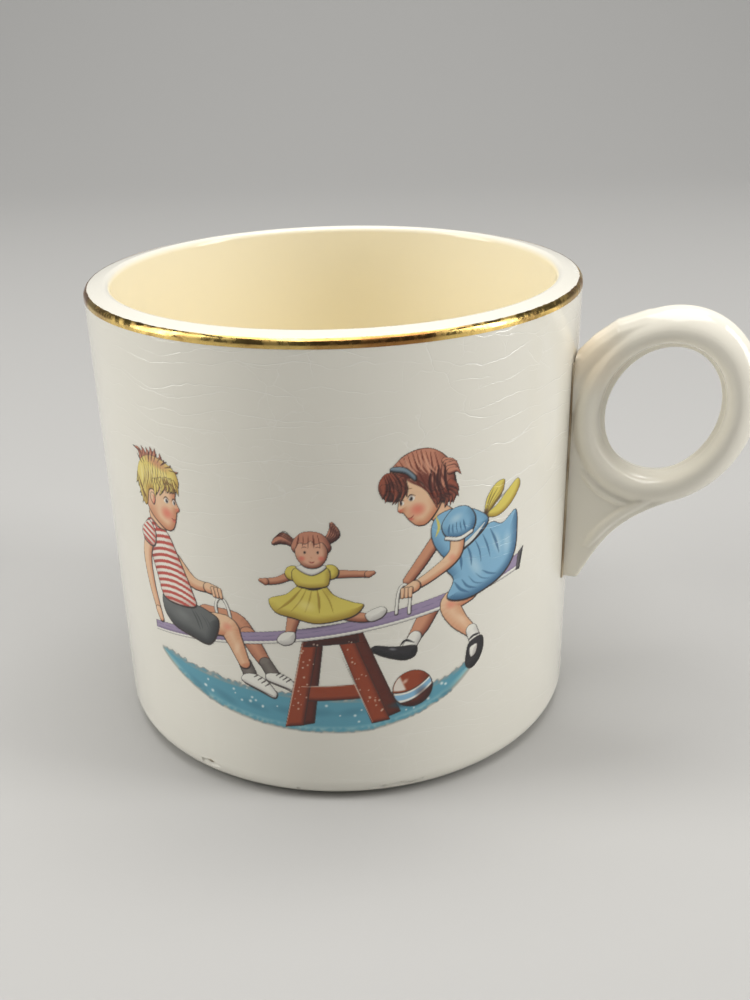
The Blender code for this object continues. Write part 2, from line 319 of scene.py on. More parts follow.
# %% Finish helper
class Finish:
    """A Principled finish and short calls that add one node each and return its output."""

    def __init__(self, name, roughness=0.1, ior=1.5):
        self.material = bpy.data.materials.new(name)
        self.material.use_nodes = True
        self.nodes = self.material.node_tree.nodes
        self.links = self.material.node_tree.links
        self.shader = self.nodes["Principled BSDF"]
        self.shader.inputs["Roughness"].default_value = roughness
        self.shader.inputs["IOR"].default_value = ior
        self.place = self.nodes.new("ShaderNodeTexCoord").outputs["Object"]

    def node(self, kind, inputs=(), **settings):
        """Adds one node; an input that is itself an output becomes a link."""
        made = self.nodes.new("ShaderNode" + kind)
        for setting, value in settings.items():
            setattr(made, setting, value)
        for key, value in dict(inputs).items():
            if isinstance(value, bpy.types.NodeSocket):
                self.links.new(value, made.inputs[key])
            else:
                made.inputs[key].default_value = value
        return made

    def moved(self, source, shift=(0, 0, 0), scale=(1, 1, 1)):
        return self.node("Mapping", {"Vector": source, "Location": shift, "Scale": scale}).outputs["Vector"]

    def clouds(self, source, scale, detail=3.0, roughness=0.55):
        inputs = {"Vector": source, "Scale": scale, "Detail": detail, "Roughness": roughness}
        return self.node("TexNoise", inputs).outputs["Fac"]

    def ramp(self, value, low, high, at_low=0.0, at_high=1.0):
        """Maps low..high to at_low..at_high, smoothly, and holds the ends."""
        inputs = {"Value": value, "From Min": low, "From Max": high, "To Min": at_low, "To Max": at_high}
        return self.node("MapRange", inputs, interpolation_type="SMOOTHSTEP").outputs["Result"]

    def math(self, operation, first, second=0.0):
        return self.node("Math", {0: first, 1: second}, operation=operation).outputs["Value"]

    def blend(self, share, first, second, how="MIX"):
        made = self.node("Mix", {"Factor": share}, data_type="RGBA", blend_type=how)
        for index, value in ((6, first), (7, second)):
            if isinstance(value, bpy.types.NodeSocket):
                self.links.new(value, made.inputs[index])
            else:
                made.inputs[index].default_value = (*value, 1)
        return made.outputs[2]

    def bump(self, height, distance, strength=1.0, under=None):
        inputs = {"Height": height, "Distance": distance, "Strength": strength}
        if under is not None:
            inputs["Normal"] = under
        return self.node("Bump", inputs).outputs["Normal"]

    def finish(self, colour=None, roughness=None, normal=None):
        for key, value in (("Base Color", colour), ("Roughness", roughness), ("Normal", normal)):
            if value is not None:
                self.links.new(value, self.shader.inputs[key])
        return self.material


# %% [markdown]
# ## The glaze finish
#
# Old earthenware glaze crazes: it shrinks more than the clay and cracks into fine, shallow and
# mostly level lines. Level lines are where the height, lifted by noise, passes a whole number of
# gaps. Two families of them are laid over each other, each kept to its own patches by a wider
# noise, and the edges of a Voronoi texture's cells make the short links between them. The
# cracks are strongest high up and towards the handle, and their lines are painted lighter than the
# glaze, a painted highlight for the light that their edges catch. Pin holes are a second Voronoi
# with only its rarest cells kept, and the glaze is never quite flat, so a wide, very shallow bump
# bends the reflections. Inside, the same glaze is painted warmer and yellower, a painted glow for
# the light bounced round the cream hollow. The handle's glaze is painted a lighter, warmer ivory,
# painted light on the same glaze, and it has hardly crazed at all.

# %% Glaze recipe
IVORY = (0.86, 0.835, 0.745)
# On the handle the same glaze is painted lighter and warmer: painted light.
HANDLE_IVORY_PAINTED_LIGHTER = (0.96, 0.92, 0.805)
# The inside's warmer ivory is painted bounce light on the same glaze.
PAINTED_BOUNCE_IVORY = (0.98, 0.90, 0.68)
PEACH = (0.93, 0.76, 0.54)
# The craze lines' lighter colour is a painted highlight.
PAINTED_CRACK_GLINT = (1.0, 0.99, 0.94)
SPECK_DARK = (0.16, 0.13, 0.10)
LEVEL_GAPS = (3.7 * MM, 5.3 * MM)
CRACK_HALF = 0.11 * MM


def level_lines(finish, place, gap):
    """Fine lines a gap apart up the wall, lifted and dipped by a wide noise and a small one."""
    height = finish.node("SeparateXYZ", {"Vector": place}).outputs["Z"]
    for scale, swing in ((48.0, 11 * MM), (230.0, 1.5 * MM)):
        lift = finish.math("MULTIPLY", finish.clouds(place, scale, 2.0), swing)
        height = finish.math("ADD", height, lift)
    turn = finish.math("PINGPONG", finish.math("DIVIDE", height, gap), 0.5)
    return finish.ramp(turn, 0.0, CRACK_HALF / gap, 1.0, 0.0)


def glaze_layers(finish, on_cup=True):
    """Adds the ivory glaze to a finish and returns its colour, roughness and normal."""
    place = finish.place
    crack = None
    for gap, shift in zip(LEVEL_GAPS, (0.0, 0.37)):
        moved = finish.moved(place, shift=(shift, shift, 0))
        line = level_lines(finish, moved, gap)
        patch = finish.ramp(finish.clouds(moved, 55.0, 3.0), 0.42, 0.56)
        line = finish.math("MULTIPLY", line, patch)
        crack = line if crack is None else finish.math("MAXIMUM", crack, line)
    wander = finish.node("TexNoise", {"Vector": place, "Scale": 180.0, "Detail": 3.0}).outputs["Color"]
    wander = finish.node("VectorMath", {0: wander, "Scale": 0.004}, operation="SCALE").outputs[0]
    wavered = finish.node("VectorMath", {0: place, 1: wander}, operation="ADD").outputs[0]
    cells = finish.node("TexVoronoi", {"Vector": wavered, "Scale": 190.0}, feature="DISTANCE_TO_EDGE")
    link = finish.ramp(cells.outputs["Distance"], 0.0, 0.022, 0.5, 0.0)
    link = finish.math("MULTIPLY", link, finish.ramp(finish.clouds(place, 90.0, 3.0), 0.50, 0.62))
    crack = finish.math("MAXIMUM", crack, link)
    apart = finish.node("SeparateXYZ", {"Vector": place}).outputs
    aged = finish.ramp(apart["X"], AXIS_X - 34 * MM, AXIS_X + 20 * MM, 0.3, 1.0)
    aged = finish.math("MULTIPLY", aged, finish.ramp(apart["Z"], 4 * MM, 55 * MM, 0.3, 1.0))
    crack = finish.math("MULTIPLY", crack, aged)
    speck_cells = finish.node("TexVoronoi", {"Vector": place, "Scale": 210.0}, feature="F1")
    rare = finish.node("SeparateColor", {"Color": speck_cells.outputs["Color"]}).outputs["Red"]
    rare = finish.ramp(rare, 0.955, 0.965)
    speck = finish.ramp(speck_cells.outputs["Distance"], 0.03, 0.075, 1.0, 0.0)
    speck = finish.math("MULTIPLY", speck, rare)
    drift = finish.ramp(finish.clouds(place, 18.0, 4.0), 0.35, 0.7)
    # The handle's lighter, warmer ivory is painted light on the same glaze.
    base = IVORY if on_cup else HANDLE_IVORY_PAINTED_LIGHTER
    colour = finish.blend(drift, base, tuple(side * 0.965 for side in base))
    if on_cup:
        centred = finish.moved(place, shift=(-AXIS_X, 0, 0))
        flat = finish.node("VectorMath", {0: centred, 1: (1, 1, 0)}, operation="MULTIPLY").outputs[0]
        radius = finish.node("VectorMath", {0: flat}, operation="LENGTH").outputs["Value"]
        inner = RIM_RADIUS - WALL
        inside = finish.ramp(radius, inner - 0.1 * MM, inner + 0.5 * MM, 1.0, 0.0)
        # Painted bounce light: the inside of the cup is painted a warmer, yellower ivory.
        colour = finish.blend(inside, colour, PAINTED_BOUNCE_IVORY)
        outside = finish.ramp(radius, RIM_RADIUS - 1.6 * MM, RIM_RADIUS - 0.9 * MM, 0.12, 1.0)
        crack = finish.math("MULTIPLY", crack, outside)
    else:
        joint = finish.moved(place, shift=(-(AXIS_X + 42 * MM), 0, -65 * MM), scale=(1, 0.5, 1))
        joint = finish.node("VectorMath", {0: joint}, operation="LENGTH").outputs["Value"]
        joint = finish.math("MULTIPLY", finish.ramp(joint, 1 * MM, 8 * MM, 1.0, 0.0), 0.55)
        colour = finish.blend(joint, colour, PEACH)
        crack = finish.math("MULTIPLY", crack, 0.15)
    # Painted highlight: the craze lines are painted lighter, for the light that their edges catch.
    colour = finish.blend(finish.math("MULTIPLY", crack, 0.5), colour, PAINTED_CRACK_GLINT)
    colour = finish.blend(finish.math("MULTIPLY", speck, 0.75), colour, SPECK_DARK)
    sweat = finish.ramp(finish.clouds(place, 140.0, 5.0), 0.4, 0.75, 0.055, 0.14)
    rolling = finish.bump(finish.clouds(place, 34.0, 1.0), 0.5 * MM, 0.30)
    peel = finish.bump(finish.clouds(place, 420.0, 2.0), 0.02 * MM, 0.35, rolling)
    cut = finish.math("ADD", crack, speck)
    pitted = finish.bump(finish.math("MULTIPLY", cut, -1.0), 0.04 * MM, 0.7, peel)
    return colour, sweat, pitted


def glaze_finish(name, on_cup=True):
    """The whole glaze as one finish, for the cup or for the handle."""
    finish = Finish(name, roughness=0.08, ior=1.52)
    return finish.finish(*glaze_layers(finish, on_cup))


ivory_glaze = glaze_finish("ivory_glaze")
handle_glaze = glaze_finish("handle_glaze", on_cup=False)

# %% [markdown]
# ## The clay cup and its glaze
#
# Both are the same section at two depths. The clay is a solid with a bare foot ring that it
# stands on; the glaze is a shell of even thickness that covers the floor, the inner wall, the
# lip and the outside, and stops where the base turns under. Spinning the section gives an exact
# round, and the tiny gap between the two keeps their faces from fighting. The lip crests
# towards the inside and falls a little to its outer edge.

# %% Cup section
LIP_INNER_EASE = 1.1 * MM
LIP_CREST = 0.42 * MM
LIP_RAISE = 0.45 * MM
LIP_FALL = 0.35 * MM
LIP_OUTER_EASE = 1.0 * MM
INNER_CORNER = 6.0 * MM
BASE_CORNER = 4.3 * MM


def wall_radius(height):
    """The glazed wall's radius at a height, from the base's to the slightly wider rim's."""
    return BASE_RADIUS + (RIM_RADIUS - BASE_RADIUS) * height / RIM_HEIGHT


def coat_line(depth, base_reach):
    """The section at a depth under the finished surface, from the floor's middle to the base."""
    lip = RIM_HEIGHT + LIP_RAISE - depth
    inner_low = wall_radius(FLOOR_TOP) - WALL + depth
    corners = [
        (0, FLOOR_TOP - depth, 0),
        (inner_low, FLOOR_TOP - depth, INNER_CORNER),
        (RIM_RADIUS - WALL + depth, lip + LIP_CREST, LIP_INNER_EASE - depth),
        (RIM_RADIUS - depth, lip - LIP_FALL, LIP_OUTER_EASE - depth),
        (BASE_RADIUS - depth, depth, BASE_CORNER - depth),
        (base_reach, depth, 0),
    ]
    return eased_line(corners, 10)


FOOT_OUTER = BASE_RADIUS - 4.9 * MM
FOOT_WIDTH = 3.0 * MM
FOOT_RISE = 1.6 * MM

# The glaze thins out to nothing where the base turns under, clear of the table.
GLAZE_LOWEST = 0.35 * MM
glaze_end = FOOT_OUTER + 1.0 * MM
glaze_section = coat_line(0, glaze_end) + coat_line(GLAZE, glaze_end)[::-1]
glaze_section = [Vector((point.x, max(point.y, GLAZE_LOWEST))) for point in glaze_section]
glazed_cup = thrown("glazed_cup", glaze_section)
glazed_cup.data.materials.append(ivory_glaze)

# %% [markdown]
# Use has knocked flakes of glaze off the turn of the base. Each one is cut with a Boolean: a
# flattened icosphere, roughened by noise and centred on the surface. The cutter's matt white
# finish comes through onto the broken faces.

# %% Chips at the base
broken_glaze = Finish("broken_glaze", roughness=0.7)
broken_grain = broken_glaze.clouds(broken_glaze.place, 1400.0, 4.0)
broken_share = broken_glaze.ramp(broken_grain, 0.3, 0.7)
broken_colour = broken_glaze.blend(broken_share, (0.98, 0.97, 0.93), (0.80, 0.75, 0.65))
broken_glaze.finish(broken_colour, normal=broken_glaze.bump(broken_grain, 0.10 * MM, 1.0))


def surface_radius(height):
    """The radius of the glazed surface at a height, down the wall and round the base's turn."""
    if height >= BASE_CORNER:
        return wall_radius(height)
    return BASE_RADIUS - BASE_CORNER + math.sqrt(BASE_CORNER ** 2 - (BASE_CORNER - height) ** 2)


def chip_glaze(piece, azimuth_degrees, height, size):
    """Breaks a flake off the outside of the cup at a compass turn from the camera's side."""
    bpy.ops.object.select_all(action="DESELECT")
    turn = math.radians(azimuth_degrees) + HANDLE_TURN - QUARTER
    bpy.ops.mesh.primitive_ico_sphere_add(subdivisions=4, radius=1)
    cutter = bpy.context.object
    for vertex in cutter.data.vertices:
        vertex.co *= 1 + 0.30 * noise.noise(vertex.co * 1.9 + Vector((azimuth_degrees, 0, 0)))
        vertex.co *= 1 + 0.07 * noise.noise(vertex.co * 7.0)
    cutter.scale = size
    cutter.rotation_euler = (0, 0, turn + QUARTER)
    out = surface_radius(height)
    cutter.location = (AXIS_X + out * math.cos(turn), out * math.sin(turn), height)
    cutter.data.materials.append(broken_glaze.material)
    settle(cutter)
    apply_modifier(piece, "BOOLEAN", operation="DIFFERENCE", object=cutter, solver="EXACT")
    bpy.data.objects.remove(cutter)


# Each chip: its turn round the cup, its height, and its half length, depth and half height.
CHIPS = (
    (13.0, 2.5, (3.6, 0.26, 0.8)),
    (8.0, 2.3, (1.2, 0.26, 1.1)),
    (-34.0, 3.2, (1.9, 0.24, 0.9)),
    (-11.0, 2.0, (0.5, 0.26, 0.4)),
)
for azimuth, height, size in CHIPS:
    chip_glaze(glazed_cup, azimuth, height * MM, Vector(size) * MM)
smooth_shading(glazed_cup, 50)
mounted(glazed_cup, "glaze_coat")

# %% [markdown]
# The clay under the glaze shows only at the foot: a ring that was wiped clean so that the mug
# wouldn't stick to the kiln shelf, and a shallow recess inside it.

# %% Clay cup
bare_clay = Finish("bare_clay", roughness=0.85)
grain = bare_clay.clouds(bare_clay.place, 900.0, 4.0)
toast = bare_clay.ramp(bare_clay.clouds(bare_clay.place, 60.0, 3.0), 0.35, 0.7)
clay_colour = bare_clay.blend(toast, (0.70, 0.62, 0.48), (0.55, 0.45, 0.32))
clay_colour = bare_clay.blend(bare_clay.ramp(grain, 0.62, 0.75, 0.0, 0.5), clay_colour, (0.33, 0.26, 0.18))
bare_clay.finish(clay_colour, normal=bare_clay.bump(grain, 0.08 * MM, 0.8))

clay_depth = GLAZE + UNDER_GLAZE
clay_section = coat_line(clay_depth, FOOT_OUTER + 0.5 * MM)
clay_section += eased_line([
    (FOOT_OUTER, clay_depth, 0),
    (FOOT_OUTER, 0, 0.25 * MM),
    (FOOT_OUTER - FOOT_WIDTH, 0, 0.5 * MM),
    (FOOT_OUTER - FOOT_WIDTH - FOOT_RISE, FOOT_RISE, 1.2 * MM),
    (0, FOOT_RISE, 0),
], 5)
clay_cup = thrown("clay_cup", clay_section, 192)
clay_cup.data.materials.append(bare_clay.material)
mounted(clay_cup, "cup_body")

# %% [markdown]
# ## The gold line
#
# Liquid gold is brushed on the outer edge of the lip from a turning wheel and fired again. It is
# a few hundredths of a millimetre thick, follows the eased corner, and its upper edge is ragged
# where it has worn. The band is the glaze's own outline moved out by a hair and spun, and then
# the points near its upper edge are moved in and out by noise to make the worn edge.

# %% Gold line
GOLD_LIFT = 0.03 * MM
GOLD_DROP = 1.6 * MM
GOLD_REACH = 0.55 * MM
GOLD_RAGGED = 0.14 * MM
GOLD_SUNK = 0.02 * MM
LIP_SLOPE = (LIP_CREST + LIP_FALL) / WALL


def gold_line(depth):
    """The glaze's own outline at a depth, from the gold's top edge to its bottom edge."""
    bottom = RIM_HEIGHT + LIP_RAISE - GOLD_DROP
    line = [point for point in coat_line(depth, glaze_end) if point.x > RIM_RADIUS - GOLD_REACH]
    line = [point for point in line if point.y > bottom]
    return line + [Vector((wall_radius(bottom) - depth, bottom))]


gold_section = gold_line(-GOLD_LIFT) + gold_line(GOLD_SUNK)[::-1]
gold_band = thrown("gold_band", gold_section, 360, closed=True)
worn_from = RIM_RADIUS - 0.5 * GOLD_REACH
for vertex in gold_band.data.vertices:
    spoke = Vector((vertex.co.x - AXIS_X, vertex.co.y))
    top = (worn_from - spoke.length) / (0.5 * GOLD_REACH)
    if top > 0:
        ragged = GOLD_RAGGED * top * noise.noise(Vector((spoke.x, spoke.y, 0)) * 900)
        vertex.co.xy += spoke.normalized() * ragged
        vertex.co.z -= ragged * LIP_SLOPE
gold = Finish("worn_gold", roughness=0.16)
gold.shader.inputs["Metallic"].default_value = 1.0
rub = gold.ramp(gold.clouds(gold.moved(gold.place, scale=(1, 1, 3.0)), 260.0, 5.0), 0.48, 0.70)
gold_colour = gold.blend(rub, (0.84, 0.60, 0.20), (0.50, 0.32, 0.11))
# Wide patches are darkened to brown: partly gold worn thin, partly a painted dark reflection of the dim
# room in front.
worn_thin_and_painted_dark_reflection = gold.ramp(gold.clouds(gold.moved(gold.place, shift=(0.013, 0, 0)), 40.0, 2.0), 0.42, 0.54)
gold_colour = gold.blend(worn_thin_and_painted_dark_reflection, gold_colour, (0.40, 0.19, 0.06))
gold_rough = gold.ramp(gold.clouds(gold.place, 700.0, 4.0), 0.3, 0.75, 0.10, 0.42)
brush_marks = gold.bump(gold.clouds(gold.place, 500.0, 3.0), 0.05 * MM, 0.6)
gold.finish(gold_colour, gold_rough, brush_marks)
gold_band.data.materials.append(gold.material)
mounted(gold_band, "gold_rim_line")

# %% [markdown]
# ## The colour transfer
#
# The picture on the front is a transfer: inks printed on a film, slid onto the glaze and fired
# into it. The scene here is a plain nursery one of two children on a seesaw with a doll between
# them. It is painted as a printer would build it up, on a flat sheet measured in millimetres
# along the wall and up it: each area of colour is laid over the last, darker towards the side
# away from the light, with a thin brown-black line round it. The sheet holds a colour and an
# amount of ink at every point, and where there's no ink there is no sheet.

# %% Sheet and lines
SHEET_LIGHT = np.array([-0.5, 0.86])
INK = (44, 34, 32)


def smoothed(points, closed=False, steps=5):
    """An even curve through a few given points."""
    knots = np.array(points, float)
    first = knots[-1] if closed else 2 * knots[0] - knots[1]
    last = knots[:2] if closed else [2 * knots[-1] - knots[-2]]
    padded = np.vstack([first, knots, last])
    line = []
    for before, here, after, beyond in zip(padded, padded[1:], padded[2:], padded[3:]):
        for share in np.linspace(0, 1, steps, endpoint=False):
            even = 2 * here + (after - before) * share
            even = even + (2 * before - 5 * here + 4 * after - beyond) * share ** 2
            line.append(0.5 * (even + (3 * here - before - 3 * after + beyond) * share ** 3))
    if not closed:
        line.append(knots[-1])
    return np.array(line)


def eased(value, low, high):
    """A smooth step from 0 at low to 1 at high."""
    share = np.clip((value - low) / (high - low), 0, 1)
    return share * share * (3 - 2 * share)


class Sheet:
    """Colour and ink at each point of a flat sheet, in millimetres along the wall and up it."""

    def __init__(self, along, up):
        self.spots = np.column_stack([along, up])
        self.paint = np.zeros((len(along), 3))
        self.ink = np.zeros(len(along))

    def reach(self, line, margin):
        """The numbers of the sheet's points in the box round a line."""
        low, high = line.min(axis=0) - margin, line.max(axis=0) + margin
        return np.nonzero(np.all((self.spots > low) & (self.spots < high), axis=1))[0]

    def lay(self, chosen, colour, share):
        """Lays a colour over what is there, by a share from 0 to 1 at each chosen point."""
        share = share[:, None]
        self.paint[chosen] = self.paint[chosen] * (1 - share) + np.asarray(colour) * share
        self.ink[chosen] = self.ink[chosen] * (1 - share[:, 0]) + share[:, 0]

    def tinted(self, depth, outward, colour, shade, shade_reach):
        """A colour that darkens to its shade near the edges that face away from the light."""
        if shade is None:
            return np.asarray(colour, float)
        dark_side = np.clip(0.45 - 0.75 * outward @ SHEET_LIGHT, 0, 1)
        dark = (dark_side * eased(depth, shade_reach, 0))[:, None]
        return np.asarray(colour) * (1 - dark) + np.asarray(shade) * dark

    def line_round(self, chosen, depth, outward, width, colour=INK):
        """Draws the edge, thinner on the side away from SHEET_LIGHT."""
        if width:
            width = width * (0.62 + 0.38 * np.clip(-outward @ SHEET_LIGHT, -1, 1))
            self.lay(chosen, colour, 0.92 * eased(np.abs(depth), width + 0.07, width - 0.06))

    def area(self, points, colour, shade=None, reach=1.4, line=0.14, soft=0.07, curved=True, share=1.0):
        """Fills a closed outline, shades it away from the light and draws its edge."""
        outline = smoothed(points, closed=True) if curved else np.array(points, float)
        chosen = self.reach(outline, soft + 0.5)
        spots = self.spots[chosen]
        nearest = np.full(len(chosen), np.inf)
        gap = np.zeros((len(chosen), 2))
        inside = np.zeros(len(chosen), bool)
        for start, end in zip(outline, np.roll(outline, -1, axis=0)):
            run, offset = end - start, spots - start
            along = np.clip(offset @ run / max(run @ run, 1e-9), 0, 1)
            away = offset - along[:, None] * run
            distance = np.hypot(*away.T)
            closer = distance < nearest
            nearest[closer] = distance[closer]
            gap[closer] = away[closer]
            if start[1] != end[1]:
                crosses = (start[1] > spots[:, 1]) != (end[1] > spots[:, 1])
                crossing = start[0] + (spots[:, 1] - start[1]) * run[0] / run[1]
                inside ^= crosses & (spots[:, 0] < crossing)
        sign = np.where(inside, 1.0, -1.0)
        outward = -sign[:, None] * gap / np.maximum(nearest, 1e-6)[:, None]
        depth = sign * nearest
        tint = self.tinted(depth, outward, colour, shade, reach)
        self.lay(chosen, tint, share * eased(depth, -soft, soft))
        self.line_round(chosen, depth, outward, line)
        return chosen, depth

    def limb(self, points, radii, colour, shade=None, line=0.14, soft=0.07, share=1.0, curved=True):
        """A round, tapering length, such as an arm, a finger or a strand, along a few points."""
        radii = np.array(radii, float)
        steps = 5 if curved else 1
        route = smoothed(points, steps=steps)
        sizes = np.interp(np.linspace(0, 1, len(route)), np.linspace(0, 1, len(radii)), radii)
        chosen = self.reach(route, radii.max() + soft + 0.3)
        spots = self.spots[chosen]
        depth = np.full(len(chosen), -np.inf)
        outward = np.zeros((len(chosen), 2))
        for start, end, first, last in zip(route, route[1:], sizes, sizes[1:]):
            run, offset = end - start, spots - start
            along = np.clip(offset @ run / max(run @ run, 1e-9), 0, 1)
            away = offset - along[:, None] * run
            distance = np.hypot(*away.T)
            inside = first + (last - first) * along - distance
            deeper = inside > depth
            depth[deeper] = inside[deeper]
            outward[deeper] = (away / np.maximum(distance, 1e-6)[:, None])[deeper]
        tint = self.tinted(depth, outward, colour, shade, radii.max())
        self.lay(chosen, tint, share * eased(depth, -soft, soft))
        self.line_round(chosen, depth, outward, line)

    def stroke(self, points, width=0.13, colour=INK, share=0.9):
        """A brush line that is narrow at both ends."""
        self.limb(points, [width * 0.25, width, width, width * 0.2], colour, line=0, soft=0.06, share=share)

    def dab(self, place, size, colour, share=0.6, turn=0.0):
        """A soft airbrushed oval."""
        turn = math.radians(turn)
        offset = self.spots - np.asarray(place)
        along = (offset[:, 0] * math.cos(turn) + offset[:, 1] * math.sin(turn)) / size[0]
        across = (offset[:, 1] * math.cos(turn) - offset[:, 0] * math.sin(turn)) / size[1]
        away = np.hypot(along, across)
        chosen = np.nonzero((away < 1) & (self.ink > 0.02))[0]
        self.lay(chosen, colour, share * (1 - away[chosen] ** 2) ** 2 * self.ink[chosen])

    def strands(self, roots, tips, count, bend=0.3, width=0.1, colour=INK, share=0.6):
        """Hair or fold lines fanned between a line of roots and a line of tips."""
        roots, tips = smoothed(roots), smoothed(tips)
        for number in range(count):
            place = (number + 0.5) / count
            sway = 0.5 * math.sin(7.3 * number) * bend
            start = roots[int(place * (len(roots) - 1))]
            end = tips[int(place * (len(tips) - 1))]
            run = end - start
            middle = (start + end) / 2 + np.array([-run[1], run[0]]) * (bend * 0.5 + sway * 0.4)
            self.stroke([start, middle, end], width * (0.8 + 0.4 * math.cos(5.1 * number)), colour, share)


# %% [markdown]
# The inks are a nursery palette: warm skin, straw and auburn hair, soft red, yellow and sky blue,
# with lavender for the plank and a red-brown for the trestle.

# %% Inks
SKIN, SKIN_SHADE, BLUSH = (238, 198, 160), (205, 132, 96), (226, 112, 92)
FAR_SKIN, FAR_SHADE = (212, 150, 116), (140, 76, 56)
STRAW, STRAW_SHADE, STRAW_DARK = (236, 216, 122), (190, 150, 72), (112, 78, 40)
AUBURN, AUBURN_SHADE, AUBURN_DARK = (158, 84, 62), (96, 38, 30), (58, 24, 22)
ROSE_HAIR = (206, 140, 112)
SHIRT_RED, SHIRT_WHITE, SHIRT_SHADE = (190, 70, 58), (240, 232, 220), (206, 170, 158)
SHORTS, SHORTS_SHADE = (100, 103, 102), (50, 52, 54)
PAPER, PAPER_SHADE = (240, 238, 228), (196, 192, 186)
SKY, SKY_SHADE, SKY_LIGHT = (134, 184, 214), (58, 102, 138), (180, 214, 230)
YELLOW, YELLOW_SHADE, YELLOW_DARK = (226, 208, 96), (170, 140, 50), (110, 88, 36)
PLANK, PLANK_SHADE = (158, 142, 172), (104, 88, 116)
BRICK, BRICK_SHADE, BRICK_DARK = (150, 62, 28), (92, 32, 16), (58, 20, 14)
TEAL, TEAL_DARK, TEAL_LIGHT = (92, 158, 178), (60, 118, 138), (156, 202, 206)
SOCK, SOCK_SHADE = (124, 116, 108), (66, 60, 58)
SHOE_BLACK = (42, 40, 44)


# %% [markdown]
# ### The ground, the ball and the seesaw
#
# The ground is one soft crescent with a faint yellow rim, a ragged edge and white flecks. The
# trestle is a splayed frame seen a little from its side, so each leg has a lit front and a dark
# edge.

# %% Ground and ball
def scatter(number, seed):
    """An uneven number from 0 to 1 for each whole number, the same every time."""
    return (math.sin(number * 12.9898 + seed * 78.233) * 43758.5453) % 1


def circle(middle, size, count):
    """Points round a circle, as an outline."""
    turns = np.linspace(0, FULL, count, endpoint=False)
    return [np.array(middle) + size * np.array([math.cos(turn), math.sin(turn)]) for turn in turns]


def paint_ground(sheet):
    top = [(22.5, 23.2), (16, 20.2), (8, 18.9), (0, 18.9), (-9, 19.6), (-18, 20.2),
           (-26, 21.2), (-32, 22.0)]
    bottom = [(-28.6, 19.4), (-22, 16.4), (-14, 14.4), (-5, 13.5), (4, 13.6), (12, 15.6), (18, 18.6)]
    rim = [(along * 1.012, up * 1.03 - 0.55) for along, up in bottom]
    sheet.area(top + rim, (226, 220, 160), line=0, soft=0.55, share=0.55)
    sheet.area(top + bottom, TEAL, TEAL_LIGHT, reach=1.2, line=0, soft=0.45)
    for number in range(120):
        along = -31.0 + 51.0 * number / 120
        for edge, drift in ((top[::-1], 0.45), (bottom, -0.4)):
            if not edge[0][0] < along < edge[-1][0] - 1:
                continue
            up = np.interp(along, *np.array(edge).T) + drift * (scatter(number, 0.377) - 0.35)
            blade = [(along, up), (along + 0.9 * scatter(number, 0.713), up + 0.3 * scatter(number, 0.618))]
            sheet.limb(blade, [0.12, 0.3], TEAL, line=0, soft=0.22, share=0.7)
    for number in range(9):
        place = (-24 + 5.1 * number, 16.8 + 0.022 * (number - 4) ** 2 * 3)
        sheet.dab(place, (3.6, 1.1), TEAL_DARK, 0.42, 8 * (number - 4))
    for number in range(48):
        along = -27 + 48 * scatter(number, 0.618)
        up = 15.0 + 3.6 * scatter(number, 0.377) + 0.006 * along * along
        sheet.dab((along, up), (0.2 + 0.25 * scatter(number, 0.713),) * 2, (232, 240, 236), 0.95)


def paint_ball(sheet):
    middle, size = np.array([11.0, 20.0]), 3.2
    sheet.dab(middle + (-2.2, -2.6), (2.6, 0.9), (36, 66, 82), 0.8)
    chosen, depth = sheet.area(circle(middle, size, 12), BRICK, BRICK_DARK, reach=2.4)
    offset = (sheet.spots[chosen] - middle) / size
    band = offset[:, 1] * 0.93 - offset[:, 0] * 0.36 - 0.30 * offset[:, 0] ** 2
    gore = offset[:, 0] * 0.93 + offset[:, 1] * 0.36
    inside = eased(depth, 0.05, 0.2)
    sheet.lay(chosen, PAPER, inside * eased(band, -0.62, -0.56) * eased(band, -0.02, -0.08))
    sheet.lay(chosen, SKY, inside * eased(band, -0.48, -0.42) * eased(band, -0.14, -0.20))
    sheet.lay(chosen, PAPER, 0.9 * inside * eased(band, 0.0, 0.1) * eased(gore, -0.25, -0.40))
    for edge in (-0.59, -0.05):
        sheet.lay(chosen, INK, 0.75 * inside * eased(np.abs(band - edge), 0.05, 0.01))
    sheet.dab(middle + (1.6, -1.2), (1.6, 2.0), BRICK_DARK, 0.5, 30)
    sheet.dab(middle + (-1.2, 1.4), (0.8, 0.5), (246, 232, 220), 0.7, 40)


# %% Seesaw
PLANK_SLOPE = 0.172
PLANK_UP = 31.3


def on_plank(along, above=0.0):
    """A point so far above the plank's middle line."""
    return (along, PLANK_UP + PLANK_SLOPE * (along + 1) + above)


